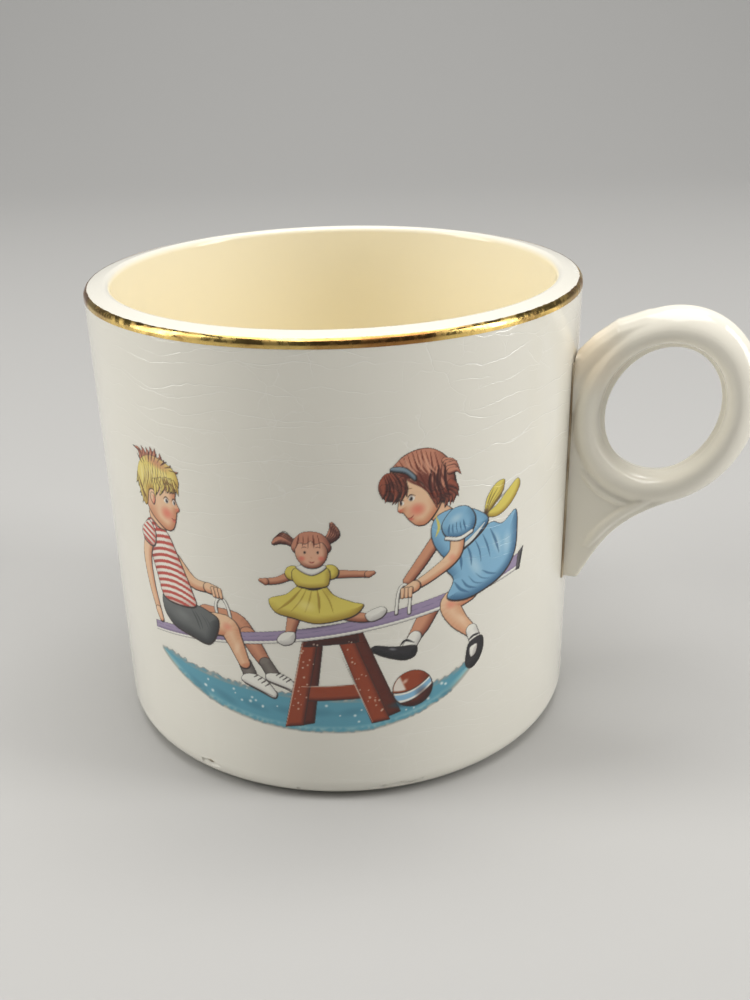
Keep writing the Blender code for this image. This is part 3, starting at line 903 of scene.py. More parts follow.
def paint_trestle(sheet):
    def board(corners, colour, shade, reach=0.8):
        sheet.area(corners, colour, shade, reach, line=0.07, soft=0.06, curved=False)

    board([(1.0, 31.0), (3.4, 31.2), (9.0, 16.2), (6.6, 15.4)], BRICK_SHADE, BRICK_DARK)
    board([(-4.6, 30.4), (-2.2, 30.6), (-4.3, 14.9), (-7.0, 14.2)], BRICK_SHADE, BRICK_DARK)
    board([(-6.4, 21.4), (4.4, 22.0), (5.2, 19.4), (-6.9, 18.8)], BRICK, BRICK_SHADE)
    board([(-5.4, 30.2), (-3.0, 30.4), (-6.0, 14.4), (-8.9, 13.9)], BRICK, BRICK_SHADE)
    board([(-0.6, 30.7), (1.7, 30.9), (7.3, 15.0), (4.5, 14.6)], BRICK, BRICK_SHADE)
    board([(-5.6, 31.2), (2.6, 32.0), (2.9, 29.2), (-5.4, 28.4)], BRICK_SHADE, BRICK_DARK, 2.6)
    for number in range(44):
        down, across = scatter(number, 0.618), 2.2 * scatter(number, 0.377) - 1.1
        leg = (0.7 + 5.2 * down, 29.4 - 14.0 * down)
        if number % 2:
            leg = (-4.3 - 3.1 * down, 29 - 14.0 * down)
        size = 0.13 + 0.14 * scatter(number, 0.713)
        sheet.dab((leg[0] + across, leg[1]), (size, size), (236, 216, 196), 0.9)
    for edge in ([(-5.3, 29.9), (-8.8, 14.1)], [(4.6, 14.8), (-0.5, 29.0)], [(-6.0, 21.4), (2.2, 21.8)]):
        sheet.stroke(edge, 0.10, (238, 222, 205), 0.75)


def paint_plank(sheet):
    left, right = -33.2, 30.6
    corners = [on_plank(left, 0.8), on_plank(right, 1.15),
               on_plank(right + 0.2, -1.5), on_plank(left, -0.9)]
    sheet.area(corners, PLANK, PLANK_SHADE, reach=1.0, line=0.10, curved=False)
    lower = [on_plank(left, -0.55), on_plank(right - 0.4, -0.95),
             on_plank(right - 0.2, -1.5), on_plank(left, -0.95)]
    sheet.area(lower, PAPER, PAPER_SHADE, reach=0.4, line=0.0, soft=0.05, curved=False)
    end = [on_plank(right - 0.3, 1.3), on_plank(right + 1.0, 1.9), on_plank(right + 0.2, -1.8),
           on_plank(right - 0.7, -1.6)]
    sheet.area(end, (88, 84, 88), (46, 44, 48), line=0.06, curved=False)
    for number in range(26):
        along = left + 2.4 * number
        start = on_plank(along, 0.3 - 0.05 * (number % 5))
        end = on_plank(along + 2.1, 0.26 - 0.05 * (number % 4))
        sheet.stroke([start, end], 0.06, PLANK_SHADE, 0.5)


def paint_hoop(sheet, along, reach=5.2, spread=1.9, lean=0.4):
    """A white wire hoop to hold on by, standing on the plank."""
    foot = np.array(on_plank(along, 0.3))
    knots = [(-spread / 2 - 0.2, 0), (-spread / 2 + lean, reach * 0.75), (lean, reach),
             (spread / 2 + lean, reach * 0.72), (spread / 2 + lean * 0.4, -0.2)]
    sheet.limb([foot + np.array(knot) for knot in knots], [0.27] * 5, PAPER, PAPER_SHADE, line=0.09)


# %% [markdown]
# ### The heads
#
# Both children share one plain face, turned a little towards the reader and mirrored for the
# girl. Its parts follow the usual rules for drawing a child: the eyes half way down, the nose
# half way from the eyes to the chin, the mouth just under it, and round cheeks. Only the hair
# differs.

# %% Head frame and face
def head_frame(place, half_height, facing, tilt):
    """Turns points on a unit head, whose x runs towards the nose, into places on the sheet."""
    tilt = math.radians(tilt) * -facing

    def on_sheet(points):
        points = np.array(points, float) * half_height * np.array([facing, 1])
        turned = np.column_stack([points[:, 0] * math.cos(tilt) - points[:, 1] * math.sin(tilt),
                                  points[:, 0] * math.sin(tilt) + points[:, 1] * math.cos(tilt)])
        return turned + np.array(place)

    return on_sheet


def paint_face(sheet, on_sheet, half_height):
    skull = [(-0.74, 0.30), (-0.66, -0.22), (-0.40, -0.62), (-0.02, -0.90), (0.26, -1.0), (0.50, -0.90),
             (0.63, -0.68), (0.70, -0.46), (0.74, -0.32), (0.86, -0.20), (0.78, -0.02), (0.74, 0.14),
             (0.80, 0.42), (0.70, 0.78), (0.30, 1.0), (-0.25, 1.0), (-0.62, 0.74)]
    sheet.area(on_sheet(skull), SKIN, SKIN_SHADE, reach=0.34 * half_height, line=0.12)

    def at(x, y):
        return on_sheet([(x, y)])[0]

    size = half_height
    sheet.dab(at(0.30, -0.42), (0.36 * size, 0.30 * size), BLUSH, 0.75)
    sheet.dab(at(-0.30, -0.42), (0.34 * size, 0.40 * size), SKIN_SHADE, 0.35)
    sheet.dab(at(0.78, -0.22), (0.12 * size, 0.10 * size), BLUSH, 0.6)
    sheet.area(on_sheet([(-0.34, 0.12), (-0.20, 0.10), (-0.18, -0.10), (-0.28, -0.26), (-0.40, -0.10)]),
               SKIN, BLUSH, reach=0.6, line=0.09)
    sheet.stroke(on_sheet([(-0.32, 0.04), (-0.25, -0.02), (-0.29, -0.14)]), 0.07, SKIN_SHADE, 0.9)
    for x, width in ((0.34, 1.0), (0.66, 0.66)):
        sheet.area(on_sheet([(x - 0.10 * width, -0.02), (x, 0.09), (x + 0.10 * width, -0.01), (x, -0.09)]),
                   (246, 240, 232), line=0, soft=0.05)
        sheet.dab(at(x + 0.02, -0.005), (0.085 * size * width, 0.105 * size), (40, 30, 30), 1.0)
        sheet.dab(at(x + 0.02, -0.005), (0.065 * size * width, 0.085 * size), (30, 22, 24), 1.0)
        sheet.dab(at(x + 0.045, 0.035), (0.03 * size, 0.03 * size), (250, 250, 245), 0.9)
        sheet.stroke(on_sheet([(x - 0.13 * width, 0.03), (x, 0.12), (x + 0.12 * width, 0.05)]), 0.085,
                     INK, 0.9)
        sheet.stroke(on_sheet([(x - 0.13 * width, 0.27), (x + 0.01, 0.34), (x + 0.13 * width, 0.29)]), 0.08,
                     (120, 70, 48), 0.75)
    sheet.stroke(on_sheet([(0.72, -0.26), (0.80, -0.29), (0.84, -0.22)]), 0.07, SKIN_SHADE, 0.95)
    sheet.stroke(on_sheet([(0.46, -0.53), (0.57, -0.575), (0.68, -0.53)]), 0.085, (150, 54, 46), 0.95)
    sheet.dab(at(0.58, -0.62), (0.13 * size, 0.055 * size), (214, 96, 84), 0.8)


# %% Hair
def tufts(sheet, roots, tips, count, size, colour, shade, bend=0.2):
    """Short pointed locks, from a line of roots to a line of tips."""
    roots, tips = smoothed(roots), smoothed(tips)
    for number in range(count):
        place = (number + 0.5) / count
        start = roots[int(place * (len(roots) - 1))]
        end = tips[int(place * (len(tips) - 1))]
        run = (end - start) * (0.75 + 0.5 * scatter(number, 0.377))
        sideways = np.array([-run[1], run[0]])
        middle = start + run / 2 + sideways * (bend + 0.3 * (scatter(number, 0.618) - 0.5))
        sheet.limb([start, middle, start + run], [size, size * 0.7, 0.04], colour, shade, line=0.07)


def paint_boy_hair(sheet, on_sheet):
    cap = [(0.62, 0.30), (0.86, 0.40), (0.96, 0.70), (0.82, 1.04), (0.40, 1.26), (-0.15, 1.34),
           (-0.62, 1.16), (-0.92, 0.74), (-0.94, 0.22), (-0.78, -0.30), (-0.62, -0.34), (-0.50, -0.05),
           (-0.42, 0.18), (-0.24, 0.24), (-0.08, 0.10), (0.00, 0.34), (0.22, 0.52), (0.44, 0.36)]
    tufts(sheet, on_sheet([(-0.88, 0.60), (-0.86, 0.10)]), on_sheet([(-1.06, 0.30), (-0.84, -0.50)]), 5,
          0.5, STRAW, STRAW_DARK)
    tufts(sheet, on_sheet([(-0.60, 1.05), (0.00, 1.20), (0.70, 0.95)]),
          on_sheet([(-0.95, 1.42), (0.10, 1.58), (1.14, 0.86)]), 10, 0.62, ROSE_HAIR, AUBURN_SHADE, -0.15)
    sheet.area(on_sheet(cap), STRAW, STRAW_SHADE, reach=1.3, line=0.08)
    tufts(sheet, on_sheet([(-0.10, 0.52), (0.40, 0.66), (0.80, 0.62)]),
          on_sheet([(-0.16, 0.06), (0.42, 0.28), (1.00, 0.24)]), 9, 0.5, STRAW, STRAW_SHADE)
    sheet.dab(on_sheet([(0.10, 1.16)])[0], (4.0, 1.3), ROSE_HAIR, 0.8, -12)
    sheet.strands(on_sheet([(-0.50, 1.10), (0.05, 1.12), (0.60, 0.95)]),
                  on_sheet([(-0.82, 0.05), (-0.20, 0.34), (0.55, 0.40)]), 26, 0.14, 0.09, STRAW_DARK, 0.42)
    sheet.strands(on_sheet([(-0.70, 0.95), (-0.10, 1.05), (0.50, 0.90)]),
                  on_sheet([(-0.72, 0.40), (0.00, 0.60), (0.72, 0.62)]), 12, 0.10,
                  0.16, (248, 236, 168), 0.6)
    sheet.strands(on_sheet([(-0.60, 1.00), (0.00, 1.16), (0.75, 0.95)]),
                  on_sheet([(-0.85, 1.34), (0.25, 1.50), (1.14, 0.80)]), 15, 0.12, 0.12, (70, 40, 36), 0.75)
    sheet.strands(on_sheet([(-0.92, 0.60), (-0.88, 0.20)]), on_sheet([(-0.74, -0.30), (-0.52, -0.16)]),
                  6, 0.10, 0.10, STRAW_DARK, 0.8)
    sheet.strands(on_sheet([(0.40, 0.80), (0.85, 0.75)]), on_sheet([(0.36, 0.24), (0.98, 0.30)]),
                  7, 0.10, 0.11, (130, 92, 46), 0.8)


def paint_girl_hair_behind(sheet, on_sheet):
    back = [(0.30, 1.24), (-0.20, 1.36), (-0.72, 1.18), (-1.06, 0.72), (-1.14, 0.14), (-1.02, -0.42),
            (-0.72, -0.66), (-0.40, -0.52), (-0.20, 0.0), (0.0, 0.8)]
    sheet.area(on_sheet(back), AUBURN, AUBURN_SHADE, reach=1.8, line=0.12)


def paint_girl_hair(sheet, on_sheet):
    bob = [(0.66, 1.02), (0.25, 1.28), (-0.25, 1.34), (-0.74, 1.16), (-1.04, 0.74), (-1.12, 0.20),
           (-1.00, -0.36), (-0.76, -0.60), (-0.46, -0.56), (-0.24, -0.34), (-0.16, -0.04),
           (-0.10, 0.30), (0.16, 0.62), (0.50, 0.74)]
    sheet.area(on_sheet(bob), ROSE_HAIR, AUBURN_SHADE, reach=2.3, line=0.12)
    fringe = [(0.46, 0.88), (0.72, 1.06), (1.00, 0.92), (1.14, 0.62), (1.08, 0.30), (0.88, 0.16),
              (0.74, 0.34), (0.60, 0.22), (0.42, 0.44), (0.28, 0.62)]
    sheet.area(on_sheet(fringe), AUBURN, AUBURN_DARK, reach=1.5, line=0.08)
    tufts(sheet, on_sheet([(0.40, 0.66), (0.75, 0.60), (1.02, 0.70)]),
          on_sheet([(0.44, 0.20), (0.84, 0.06), (1.26, 0.34)]), 8, 0.55, AUBURN, AUBURN_DARK)
    tufts(sheet, on_sheet([(-0.30, -0.20), (-0.66, -0.34), (-0.98, -0.10)]),
          on_sheet([(-0.26, -0.60), (-0.66, -0.80), (-1.24, -0.62)]), 8, 0.6, AUBURN, AUBURN_DARK)
    tufts(sheet, on_sheet([(-0.98, 0.60), (-1.02, 0.10)]), on_sheet([(-1.28, 0.40), (-1.30, -0.20)]), 5,
          0.5, ROSE_HAIR, AUBURN_SHADE)
    sheet.strands(on_sheet([(0.40, 1.20), (-0.30, 1.30), (-0.90, 0.90)]),
                  on_sheet([(-0.14, 0.10), (-0.40, -0.50), (-0.98, -0.40)]), 24, -0.16,
                  0.13, AUBURN_SHADE, 0.6)
    sheet.strands(on_sheet([(-0.55, 0.60), (-1.06, 0.50)]), on_sheet([(-0.26, -0.34), (-0.86, -0.62)]),
                  13, -0.18, 0.19, AUBURN_DARK, 0.65)
    sheet.strands(on_sheet([(0.10, 1.22), (-0.60, 1.10)]), on_sheet([(-0.06, 0.62), (-0.74, 0.30)]),
                  8, -0.12, 0.18, (226, 170, 140), 0.6)
    sheet.strands(on_sheet([(0.56, 1.00), (0.90, 0.98)]), on_sheet([(0.50, 0.34), (1.12, 0.40)]),
                  10, 0.14, 0.14, AUBURN_DARK, 0.7)
    band = [(0.60, 1.06), (0.52, 1.16), (0.18, 0.98), (-0.02, 0.60), (0.06, 0.46), (0.24, 0.80)]
    sheet.area(on_sheet(band), (132, 152, 164), (52, 62, 72), reach=0.5, line=0.12)


# %% [markdown]
# ### The children and the doll
#
# Each figure is laid from back to front: the far limbs first, in darker inks, then the plank
# between, then the body, the near limbs and the head.

# %% Boy
def laced_shoe(sheet, toe, heel, top):
    toe, heel, top = np.array(toe), np.array(heel), np.array(top)
    sole = (toe + heel) / 2 + np.array([-0.2, -0.35])
    sheet.area([top + (-0.9, -0.1), top + (0.9, 0.1), (top + toe) / 2 + (0.6, 0.75), toe + (-0.2, 0.75),
                toe, toe + (-0.6, -0.6), sole + (0.3, -0.3), heel + (0.2, -0.5), heel + (-0.35, 0.3)],
               PAPER, PAPER_SHADE, reach=0.9, line=0.14)
    sheet.stroke([heel + (-0.1, -0.25), sole + (0.3, -0.1), toe + (-0.5, -0.35)], 0.08, INK, 0.8)
    for number in range(4):
        lace = top + (toe - top) * (0.16 + 0.14 * number) + (0.35, 0.45)
        sheet.stroke([lace + (-0.5, -0.35), lace, lace + (0.3, 0.3)], 0.10, INK, 0.95)
        sheet.dab(lace + (-0.45, -0.35), (0.16, 0.16), INK, 0.9)


def paint_boy_far(sheet):
    sheet.limb([(-21.0, 31.6), (-16.0, 31.6), (-13.8, 29.6)], [1.6, 1.5, 1.2], FAR_SKIN, FAR_SHADE)
    sheet.limb([(-14.0, 29.4), (-12.6, 26.8), (-11.0, 24.2)], [1.45, 1.3, 0.95], FAR_SKIN, FAR_SHADE)
    sheet.limb([(-11.4, 24.9), (-10.5, 23.3)], [1.05, 1.1], SOCK, SOCK_SHADE, curved=False)
    laced_shoe(sheet, (-6.7, 20.9), (-11.3, 22.2), (-10.3, 23.3))


def paint_boy(sheet):
    sheet.limb([(-26.4, 39.4), (-23.2, 36.5), (-20.0, 36.2)], [1.25, 1.05, 0.8], SKIN, SKIN_SHADE)
    sheet.limb([(-14.9, 24.4), (-14.3, 22.9)], [1.15, 1.2], SOCK, SOCK_SHADE, curved=False)
    laced_shoe(sheet, (-9.9, 19.4), (-15.4, 21.3), (-14.0, 22.6))
    sheet.limb([(-22.6, 29.6), (-17.8, 30.3), (-16.5, 28.3), (-15.0, 24.4)],
               [2.0, 1.9, 1.5, 1.02], SKIN, SKIN_SHADE)
    sheet.dab((-17.4, 30.2), (1.3, 1.1), BLUSH, 0.45)
    sheet.dab((-16.0, 26.8), (0.7, 1.8), (246, 214, 180), 0.6, -18)
    sheet.area([(-30.1, 32.6), (-26.6, 31.8), (-23.0, 32.6), (-20.4, 32.0), (-18.9, 30.9),
                (-19.6, 28.0), (-21.3, 26.1), (-24.8, 26.7), (-28.4, 27.5), (-30.4, 29.6)], SHORTS,
               SHORTS_SHADE, reach=2.2, line=0.17)
    sheet.strands([(-24.0, 31.6), (-21.0, 31.0)], [(-22.6, 28.4), (-19.8, 29.4)], 4, 0.1,
                  0.12, (48, 50, 52), 0.5)
    sheet.dab((-26.0, 30.0), (2.4, 1.2), (128, 131, 130), 0.5, -10)
    sheet.limb([(-30.0, 46.0), (-29.4, 43.4)], [1.5, 1.7], SKIN, SKIN_SHADE, curved=False)
    shirt = [(-32.9, 43.7), (-31.4, 45.0), (-29.2, 43.9), (-27.5, 43.5), (-26.3, 41.4), (-24.9, 38.2),
             (-23.5, 34.8), (-23.0, 32.3), (-26.4, 31.5), (-30.0, 31.9), (-31.1, 35.0),
             (-32.4, 39.4), (-33.3, 42.4)]
    chosen, depth = sheet.area(shirt, SHIRT_WHITE, SHIRT_SHADE, reach=1.8, line=0)
    spots = sheet.spots[chosen]
    sag = spots[:, 1] - 31.6 - 0.10 * (spots[:, 0] + 28) + 0.055 * (spots[:, 0] + 28) ** 2
    band = np.abs((sag / 1.06) % 1 - 0.5)
    inside = eased(depth, 0.0, 0.12)
    red = np.array(SHIRT_RED) * (1 - 0.25 * eased(spots[:, :1], -29.5, -33.0))
    sheet.lay(chosen, red, 0.94 * inside * eased(band, 0.29, 0.21))
    sheet.area(shirt, SHIRT_WHITE, line=0.15, share=0.0)
    sheet.stroke([(-31.3, 44.9), (-29.8, 43.6), (-27.7, 43.6)], 0.16, SHIRT_RED, 0.95)
    sheet.stroke([(-31.3, 45.1), (-29.7, 43.9), (-27.6, 43.9)], 0.08, INK, 0.9)
    sheet.limb([(-31.9, 42.3), (-33.4, 38.0), (-33.1, 33.2), (-32.0, 28.9)],
               [1.25, 1.1, 0.9, 0.72], SKIN, SKIN_SHADE)
    sheet.limb([(-32.0, 28.7), (-31.5, 27.4)], [0.8, 0.6], SKIN, SKIN_SHADE, curved=False)
    sleeve = [(-33.2, 43.6), (-31.6, 44.4), (-30.4, 42.6), (-31.2, 40.2), (-33.6, 40.6), (-34.1, 42.2)]
    chosen, depth = sheet.area(sleeve, SHIRT_WHITE, SHIRT_SHADE, line=0.15)
    spots = sheet.spots[chosen]
    band = np.abs(((spots[:, 1] + 0.45 * spots[:, 0]) / 1.06) % 1 - 0.5)
    sheet.lay(chosen, SHIRT_RED, 0.9 * eased(depth, 0.1, 0.25) * eased(band, 0.29, 0.21))


def paint_boy_hand(sheet):
    sheet.limb([(-20.2, 36.2), (-18.9, 36.0)], [0.95, 0.85], SKIN, SKIN_SHADE, curved=False)
    for number in range(3):
        finger = [(-19.5 + 0.62 * number, 36.3), (-19.3 + 0.62 * number, 35.1)]
        sheet.limb(finger, [0.36, 0.3], SKIN, SKIN_SHADE, line=0.08, curved=False)


# %% Girl
def strap_shoe(sheet, outline, strap):
    sheet.area(outline, SHOE_BLACK, (20, 20, 24), line=0.12)
    sheet.stroke(strap, 0.2, SHOE_BLACK, 1.0)
    sheet.dab(np.mean(np.array(outline), axis=0) + (-0.3, 0.4), (0.9, 0.35), (170, 172, 178), 0.6, -15)


def paint_girl_far(sheet):
    sheet.limb([(13.8, 33.2), (12.4, 30.6), (10.9, 28.4)], [1.5, 1.35, 0.95], FAR_SKIN, FAR_SHADE)
    sheet.limb([(11.4, 28.9), (10.5, 27.4)], [1.05, 1.1], PAPER, PAPER_SHADE, line=0.10, curved=False)
    strap_shoe(sheet, [(11.6, 27.4), (11.4, 25.7), (9.6, 25.2), (6.6, 26.2), (4.7, 27.4), (5.2, 28.3),
                       (7.6, 27.9), (9.2, 27.7)], [(9.0, 27.7), (9.9, 28.6), (11.3, 28.0)])
    sheet.limb([(15.2, 45.0), (12.4, 41.2), (10.4, 38.6)], [1.0, 0.95, 0.8], FAR_SKIN, FAR_SHADE)


def paint_bow(sheet):
    for loop in ([(23.0, 46.6), (23.4, 49.2), (25.0, 51.0), (26.8, 51.2), (26.4, 49.2), (24.6, 47.4)],
                 [(23.2, 46.4), (25.4, 47.6), (27.6, 49.4), (29.6, 50.6), (30.2, 49.2),
                  (28.2, 46.8), (25.4, 45.6)]):
        sheet.area(loop, YELLOW, YELLOW_SHADE, reach=1.0, line=0.07, soft=0.12)
    sheet.strands([(23.2, 46.8), (23.8, 46.6)], [(24.6, 50.4), (28.8, 49.4)], 7, 0.08,
                  0.11, YELLOW_DARK, 0.6)
    sheet.dab((23.2, 46.7), (0.9, 1.2), (70, 46, 34), 0.95)


def paint_girl(sheet):
    sheet.limb([(20.2, 34.8), (17.3, 33.4), (18.4, 30.4), (21.2, 27.2)],
               [2.0, 1.85, 1.5, 0.98], SKIN, SKIN_SHADE)
    sheet.dab((17.2, 33.2), (1.3, 1.2), BLUSH, 0.5)
    sheet.dab((19.2, 30.2), (0.7, 1.8), (246, 214, 180), 0.6, 40)
    sheet.limb([(21.0, 27.7), (21.6, 26.0)], [1.05, 1.1], PAPER, PAPER_SHADE, line=0.10, curved=False)
    strap_shoe(sheet, [(20.6, 25.6), (22.9, 26.2), (23.3, 24.2), (22.5, 22.0), (21.1, 20.9),
                       (20.0, 21.6), (20.0, 23.6)], [(20.4, 26.0), (21.4, 26.6), (22.7, 26.6)])
    sheet.area([(20.7, 24.6), (22.1, 24.9), (21.8, 23.3), (20.9, 22.9)], PAPER, PAPER_SHADE, line=0.08)
    sheet.limb([(14.6, 49.4), (16.6, 47.4)], [1.4, 1.7], SKIN, SKIN_SHADE, curved=False)
    paint_bow(sheet)
    skirt = [(16.4, 41.6), (20.6, 43.0), (24.2, 45.0), (26.6, 44.2), (29.4, 45.6), (29.9, 42.2),
             (29.5, 38.4), (27.2, 35.6), (23.2, 34.0), (19.4, 33.4), (16.6, 34.4),
             (17.6, 37.2), (16.2, 39.4)]
    sheet.area(skirt, SKY, SKY_SHADE, reach=2.0, line=0.17)
    bodice = [(14.3, 47.4), (15.8, 48.6), (18.6, 48.8), (21.8, 47.6), (23.8, 45.4), (21.0, 42.8),
              (16.9, 41.0), (15.0, 42.6), (14.0, 45.2)]
    sheet.area(bodice, SKY, SKY_SHADE, reach=1.8, line=0.15)
    for place, size, turn in (((25.6, 41.2), (3.0, 1.2), -70), ((21.4, 38.6), (3.0, 1.3), -60),
                              ((27.6, 40.6), (1.2, 2.6), 0)):
        sheet.dab(place, size, SKY_LIGHT, 0.75, turn)
    sheet.strands([(18.4, 42.0), (25.6, 44.4)], [(19.0, 38.6), (27.8, 39.6)], 6,
                  0.10, 0.20, SKY_SHADE, 0.75)
    sheet.strands([(17.8, 36.8), (24.0, 37.6)], [(20.4, 34.4), (27.0, 36.4)], 5,
                  -0.2, 0.20, SKY_SHADE, 0.75)
    sheet.stroke([(16.6, 41.5), (20.2, 42.9), (23.0, 45.2)], 0.34, PAPER, 0.9)
    sheet.stroke([(16.5, 41.2), (20.3, 42.5), (23.3, 44.9)], 0.10, INK, 0.9)
    sheet.stroke([(14.7, 48.3), (15.2, 46.4), (14.7, 44.9)], 0.22, YELLOW, 0.9)
    sheet.limb([(18.3, 44.4), (17.8, 41.4), (14.4, 39.0), (11.2, 37.4)],
               [1.2, 1.15, 0.95, 0.75], SKIN, SKIN_SHADE)
    sheet.dab((17.4, 41.0), (0.9, 0.9), BLUSH, 0.35)
    puff = [(15.9, 47.2), (17.6, 48.9), (20.0, 48.7), (21.4, 46.6), (20.8, 44.6), (18.6, 43.9),
            (16.6, 44.4), (15.7, 45.8)]
    sheet.area(puff, SKY, SKY_SHADE, reach=1.5, line=0.15)
    sheet.dab((18.0, 47.2), (1.6, 1.0), SKY_LIGHT, 0.8, 20)
    sheet.strands([(16.8, 44.8), (20.4, 45.0)], [(16.9, 46.4), (19.8, 46.8)], 6, 0.08, 0.13, SKY_SHADE, 0.8)
    sheet.limb([(16.4, 44.3), (18.6, 43.8), (20.7, 44.5)], [0.3, 0.34, 0.3], PAPER, PAPER_SHADE, line=0.08)


def paint_girl_hand(sheet):
    sheet.limb([(11.4, 37.5), (10.2, 36.9)], [0.95, 0.85], SKIN, SKIN_SHADE, curved=False)
    for number in range(3):
        finger = [(9.6 + 0.6 * number, 37.2), (9.5 + 0.62 * number, 36.0)]
        sheet.limb(finger, [0.36, 0.3], SKIN, SKIN_SHADE, line=0.08, curved=False)


# %% Doll
def paint_doll(sheet):
    sheet.dab((-3.0, 32.4), (7.0, 1.1), (44, 38, 52), 0.8, 10)
    for points in ([(-6.4, 34.0), (-7.0, 31.8), (-7.4, 30.2)], [(0.4, 34.2), (3.0, 33.4), (4.6, 33.2)]):
        sheet.limb(points, [1.05, 0.85, 0.7], FAR_SKIN, FAR_SHADE, line=0.10)
    sheet.area([(-6.6, 30.8), (-8.4, 30.6), (-9.4, 29.2), (-8.4, 28.4), (-6.8, 29.0)], PAPER,
               PAPER_SHADE, line=0.10)
    sheet.area([(4.0, 33.9), (4.6, 32.5), (6.4, 33.0), (7.2, 34.2), (6.2, 34.9)], PAPER,
               PAPER_SHADE, line=0.10)
    for points in ([(-6.4, 40.5), (-8.6, 39.4), (-10.6, 39.0)], [(-0.8, 40.7), (2.0, 40.6), (4.6, 40.4)]):
        sheet.limb(points, [0.75, 0.6, 0.55], FAR_SKIN, FAR_SHADE, line=0.10)
        fingers = np.array(points[-1]) + (0.7 * np.sign(points[-1][0]), 0.15)
        sheet.limb([points[-1], fingers], [0.6, 0.35], FAR_SKIN, FAR_SHADE, line=0.08, curved=False)
    skirt = [(-5.4, 38.8), (-2.0, 38.9), (-0.4, 37.2), (2.2, 36.0), (3.8, 35.4), (2.6, 33.8),
             (0.0, 32.9), (-3.4, 32.4), (-6.6, 33.2), (-9.4, 34.0), (-10.2, 36.2), (-7.6, 37.2)]
    sheet.area(skirt, YELLOW, YELLOW_SHADE, reach=1.6, line=0.12)
    sheet.strands([(-5.2, 38.2), (-1.4, 38.2)], [(-9.0, 34.4), (1.4, 34.2)], 9, 0.08,
                  0.16, YELLOW_SHADE, 0.7)
    sheet.dab((-4.6, 35.4), (2.0, 1.2), (242, 228, 140), 0.7, -20)
    for puff in ((-6.3, 40.7), (-0.9, 41.0)):
        sheet.area(circle(puff, 1.25, 8), YELLOW, YELLOW_SHADE, reach=0.9, line=0.11)
    sheet.area([(-6.2, 41.4), (-3.6, 41.9), (-1.2, 41.5), (-1.0, 39.6), (-1.8, 38.5), (-5.2, 38.4),
                (-6.4, 39.6)], YELLOW, YELLOW_SHADE, reach=1.0, line=0.10)
    sheet.area([(-5.8, 41.7), (-3.6, 40.4), (-1.4, 41.8), (-3.6, 42.4)], PAPER,
               PAPER_SHADE, reach=0.5, line=0.07)
    sheet.stroke([(-5.5, 38.6), (-3.5, 38.1), (-1.6, 38.6)], 0.16, INK, 0.9)
    for side, tail in ((-1, [(-5.6, 45.2), (-7.4, 46.2), (-8.9, 45.4)]),
                       (1, [(-1.6, 45.6), (-0.2, 47.0), (-0.4, 48.6)])):
        sheet.limb(tail, [0.5, 0.95, 0.35], ROSE_HAIR, AUBURN_DARK, line=0.09)
        for number in range(4):
            drift = np.array([0.25 * number - 0.4, 0.4 - 0.25 * number * side])
            lock = [np.array(tail[0]), np.array(tail[1]) + drift, np.array(tail[2]) + drift]
            sheet.stroke(lock, 0.10, AUBURN_DARK, 0.7)
    on_sheet = head_frame((-3.5, 44.3), 2.75, 1, 0)
    hair = [(-0.98, 0.0), (-0.92, 0.62), (-0.50, 1.06), (0.05, 1.16), (0.58, 1.02), (0.95, 0.58),
            (0.98, 0.0), (0.0, -0.6)]
    sheet.area(on_sheet(hair), ROSE_HAIR, AUBURN_SHADE, reach=1.1, line=0.11)
    cheeks = [(-0.84, 0.10), (-0.80, -0.40), (-0.46, -0.86), (0.0, -1.0), (0.46, -0.86), (0.80, -0.40),
              (0.84, 0.10), (0.60, 0.50), (0.25, 0.42), (0.0, 0.60), (-0.30, 0.42), (-0.62, 0.48)]
    sheet.area(on_sheet(cheeks), (232, 178, 146), FAR_SHADE, reach=0.9, line=0.09)
    for x in (-0.34, 0.34):
        eye = on_sheet([(x, -0.06)])[0]
        sheet.dab(eye, (0.24, 0.34), (36, 28, 30), 1.0)
        sheet.dab(eye, (0.20, 0.28), (30, 22, 24), 1.0)
        sheet.stroke(on_sheet([(x - 0.14, 0.20), (x, 0.26), (x + 0.14, 0.20)]), 0.06, AUBURN_SHADE, 0.7)
        sheet.dab(on_sheet([(x * 1.5, -0.42)])[0], (0.7, 0.6), BLUSH, 0.75)
    sheet.stroke(on_sheet([(-0.05, -0.34), (0.04, -0.37)]), 0.06, SKIN_SHADE, 0.9)
    sheet.stroke(on_sheet([(-0.16, -0.58), (0.0, -0.66), (0.16, -0.58)]), 0.09, (150, 50, 46), 0.95)
    sheet.strands(on_sheet([(-0.6, 0.95), (0.6, 0.95)]), on_sheet([(-0.78, 0.2), (0.78, 0.2)]), 9, 0.05,
                  0.10, AUBURN_SHADE, 0.6)


# %% The whole picture
def paint_picture(sheet):
    """Lays every part of the picture, from the ground to the nearest hand."""
    paint_ground(sheet)
    paint_boy_far(sheet)
    paint_girl_far(sheet)
    paint_trestle(sheet)
    paint_ball(sheet)
    paint_plank(sheet)
    paint_doll(sheet)
    paint_hoop(sheet, 9.6, 4.6, 1.7, 0.2)
    paint_hoop(sheet, -17.2, 6.2, 2.2, -0.9)
    paint_boy(sheet)
    paint_boy_hand(sheet)
    boy_head = head_frame((-28.7, 48.9), 5.0, 1, -2)
    paint_face(sheet, boy_head, 5.0)
    paint_boy_hair(sheet, boy_head)
    paint_girl(sheet)
    paint_girl_hand(sheet)
    girl_head = head_frame((12.6, 52.2), 4.9, -1, 20)
    paint_girl_hair_behind(sheet, girl_head)
    paint_face(sheet, girl_head, 4.9)
    paint_girl_hair(sheet, girl_head)

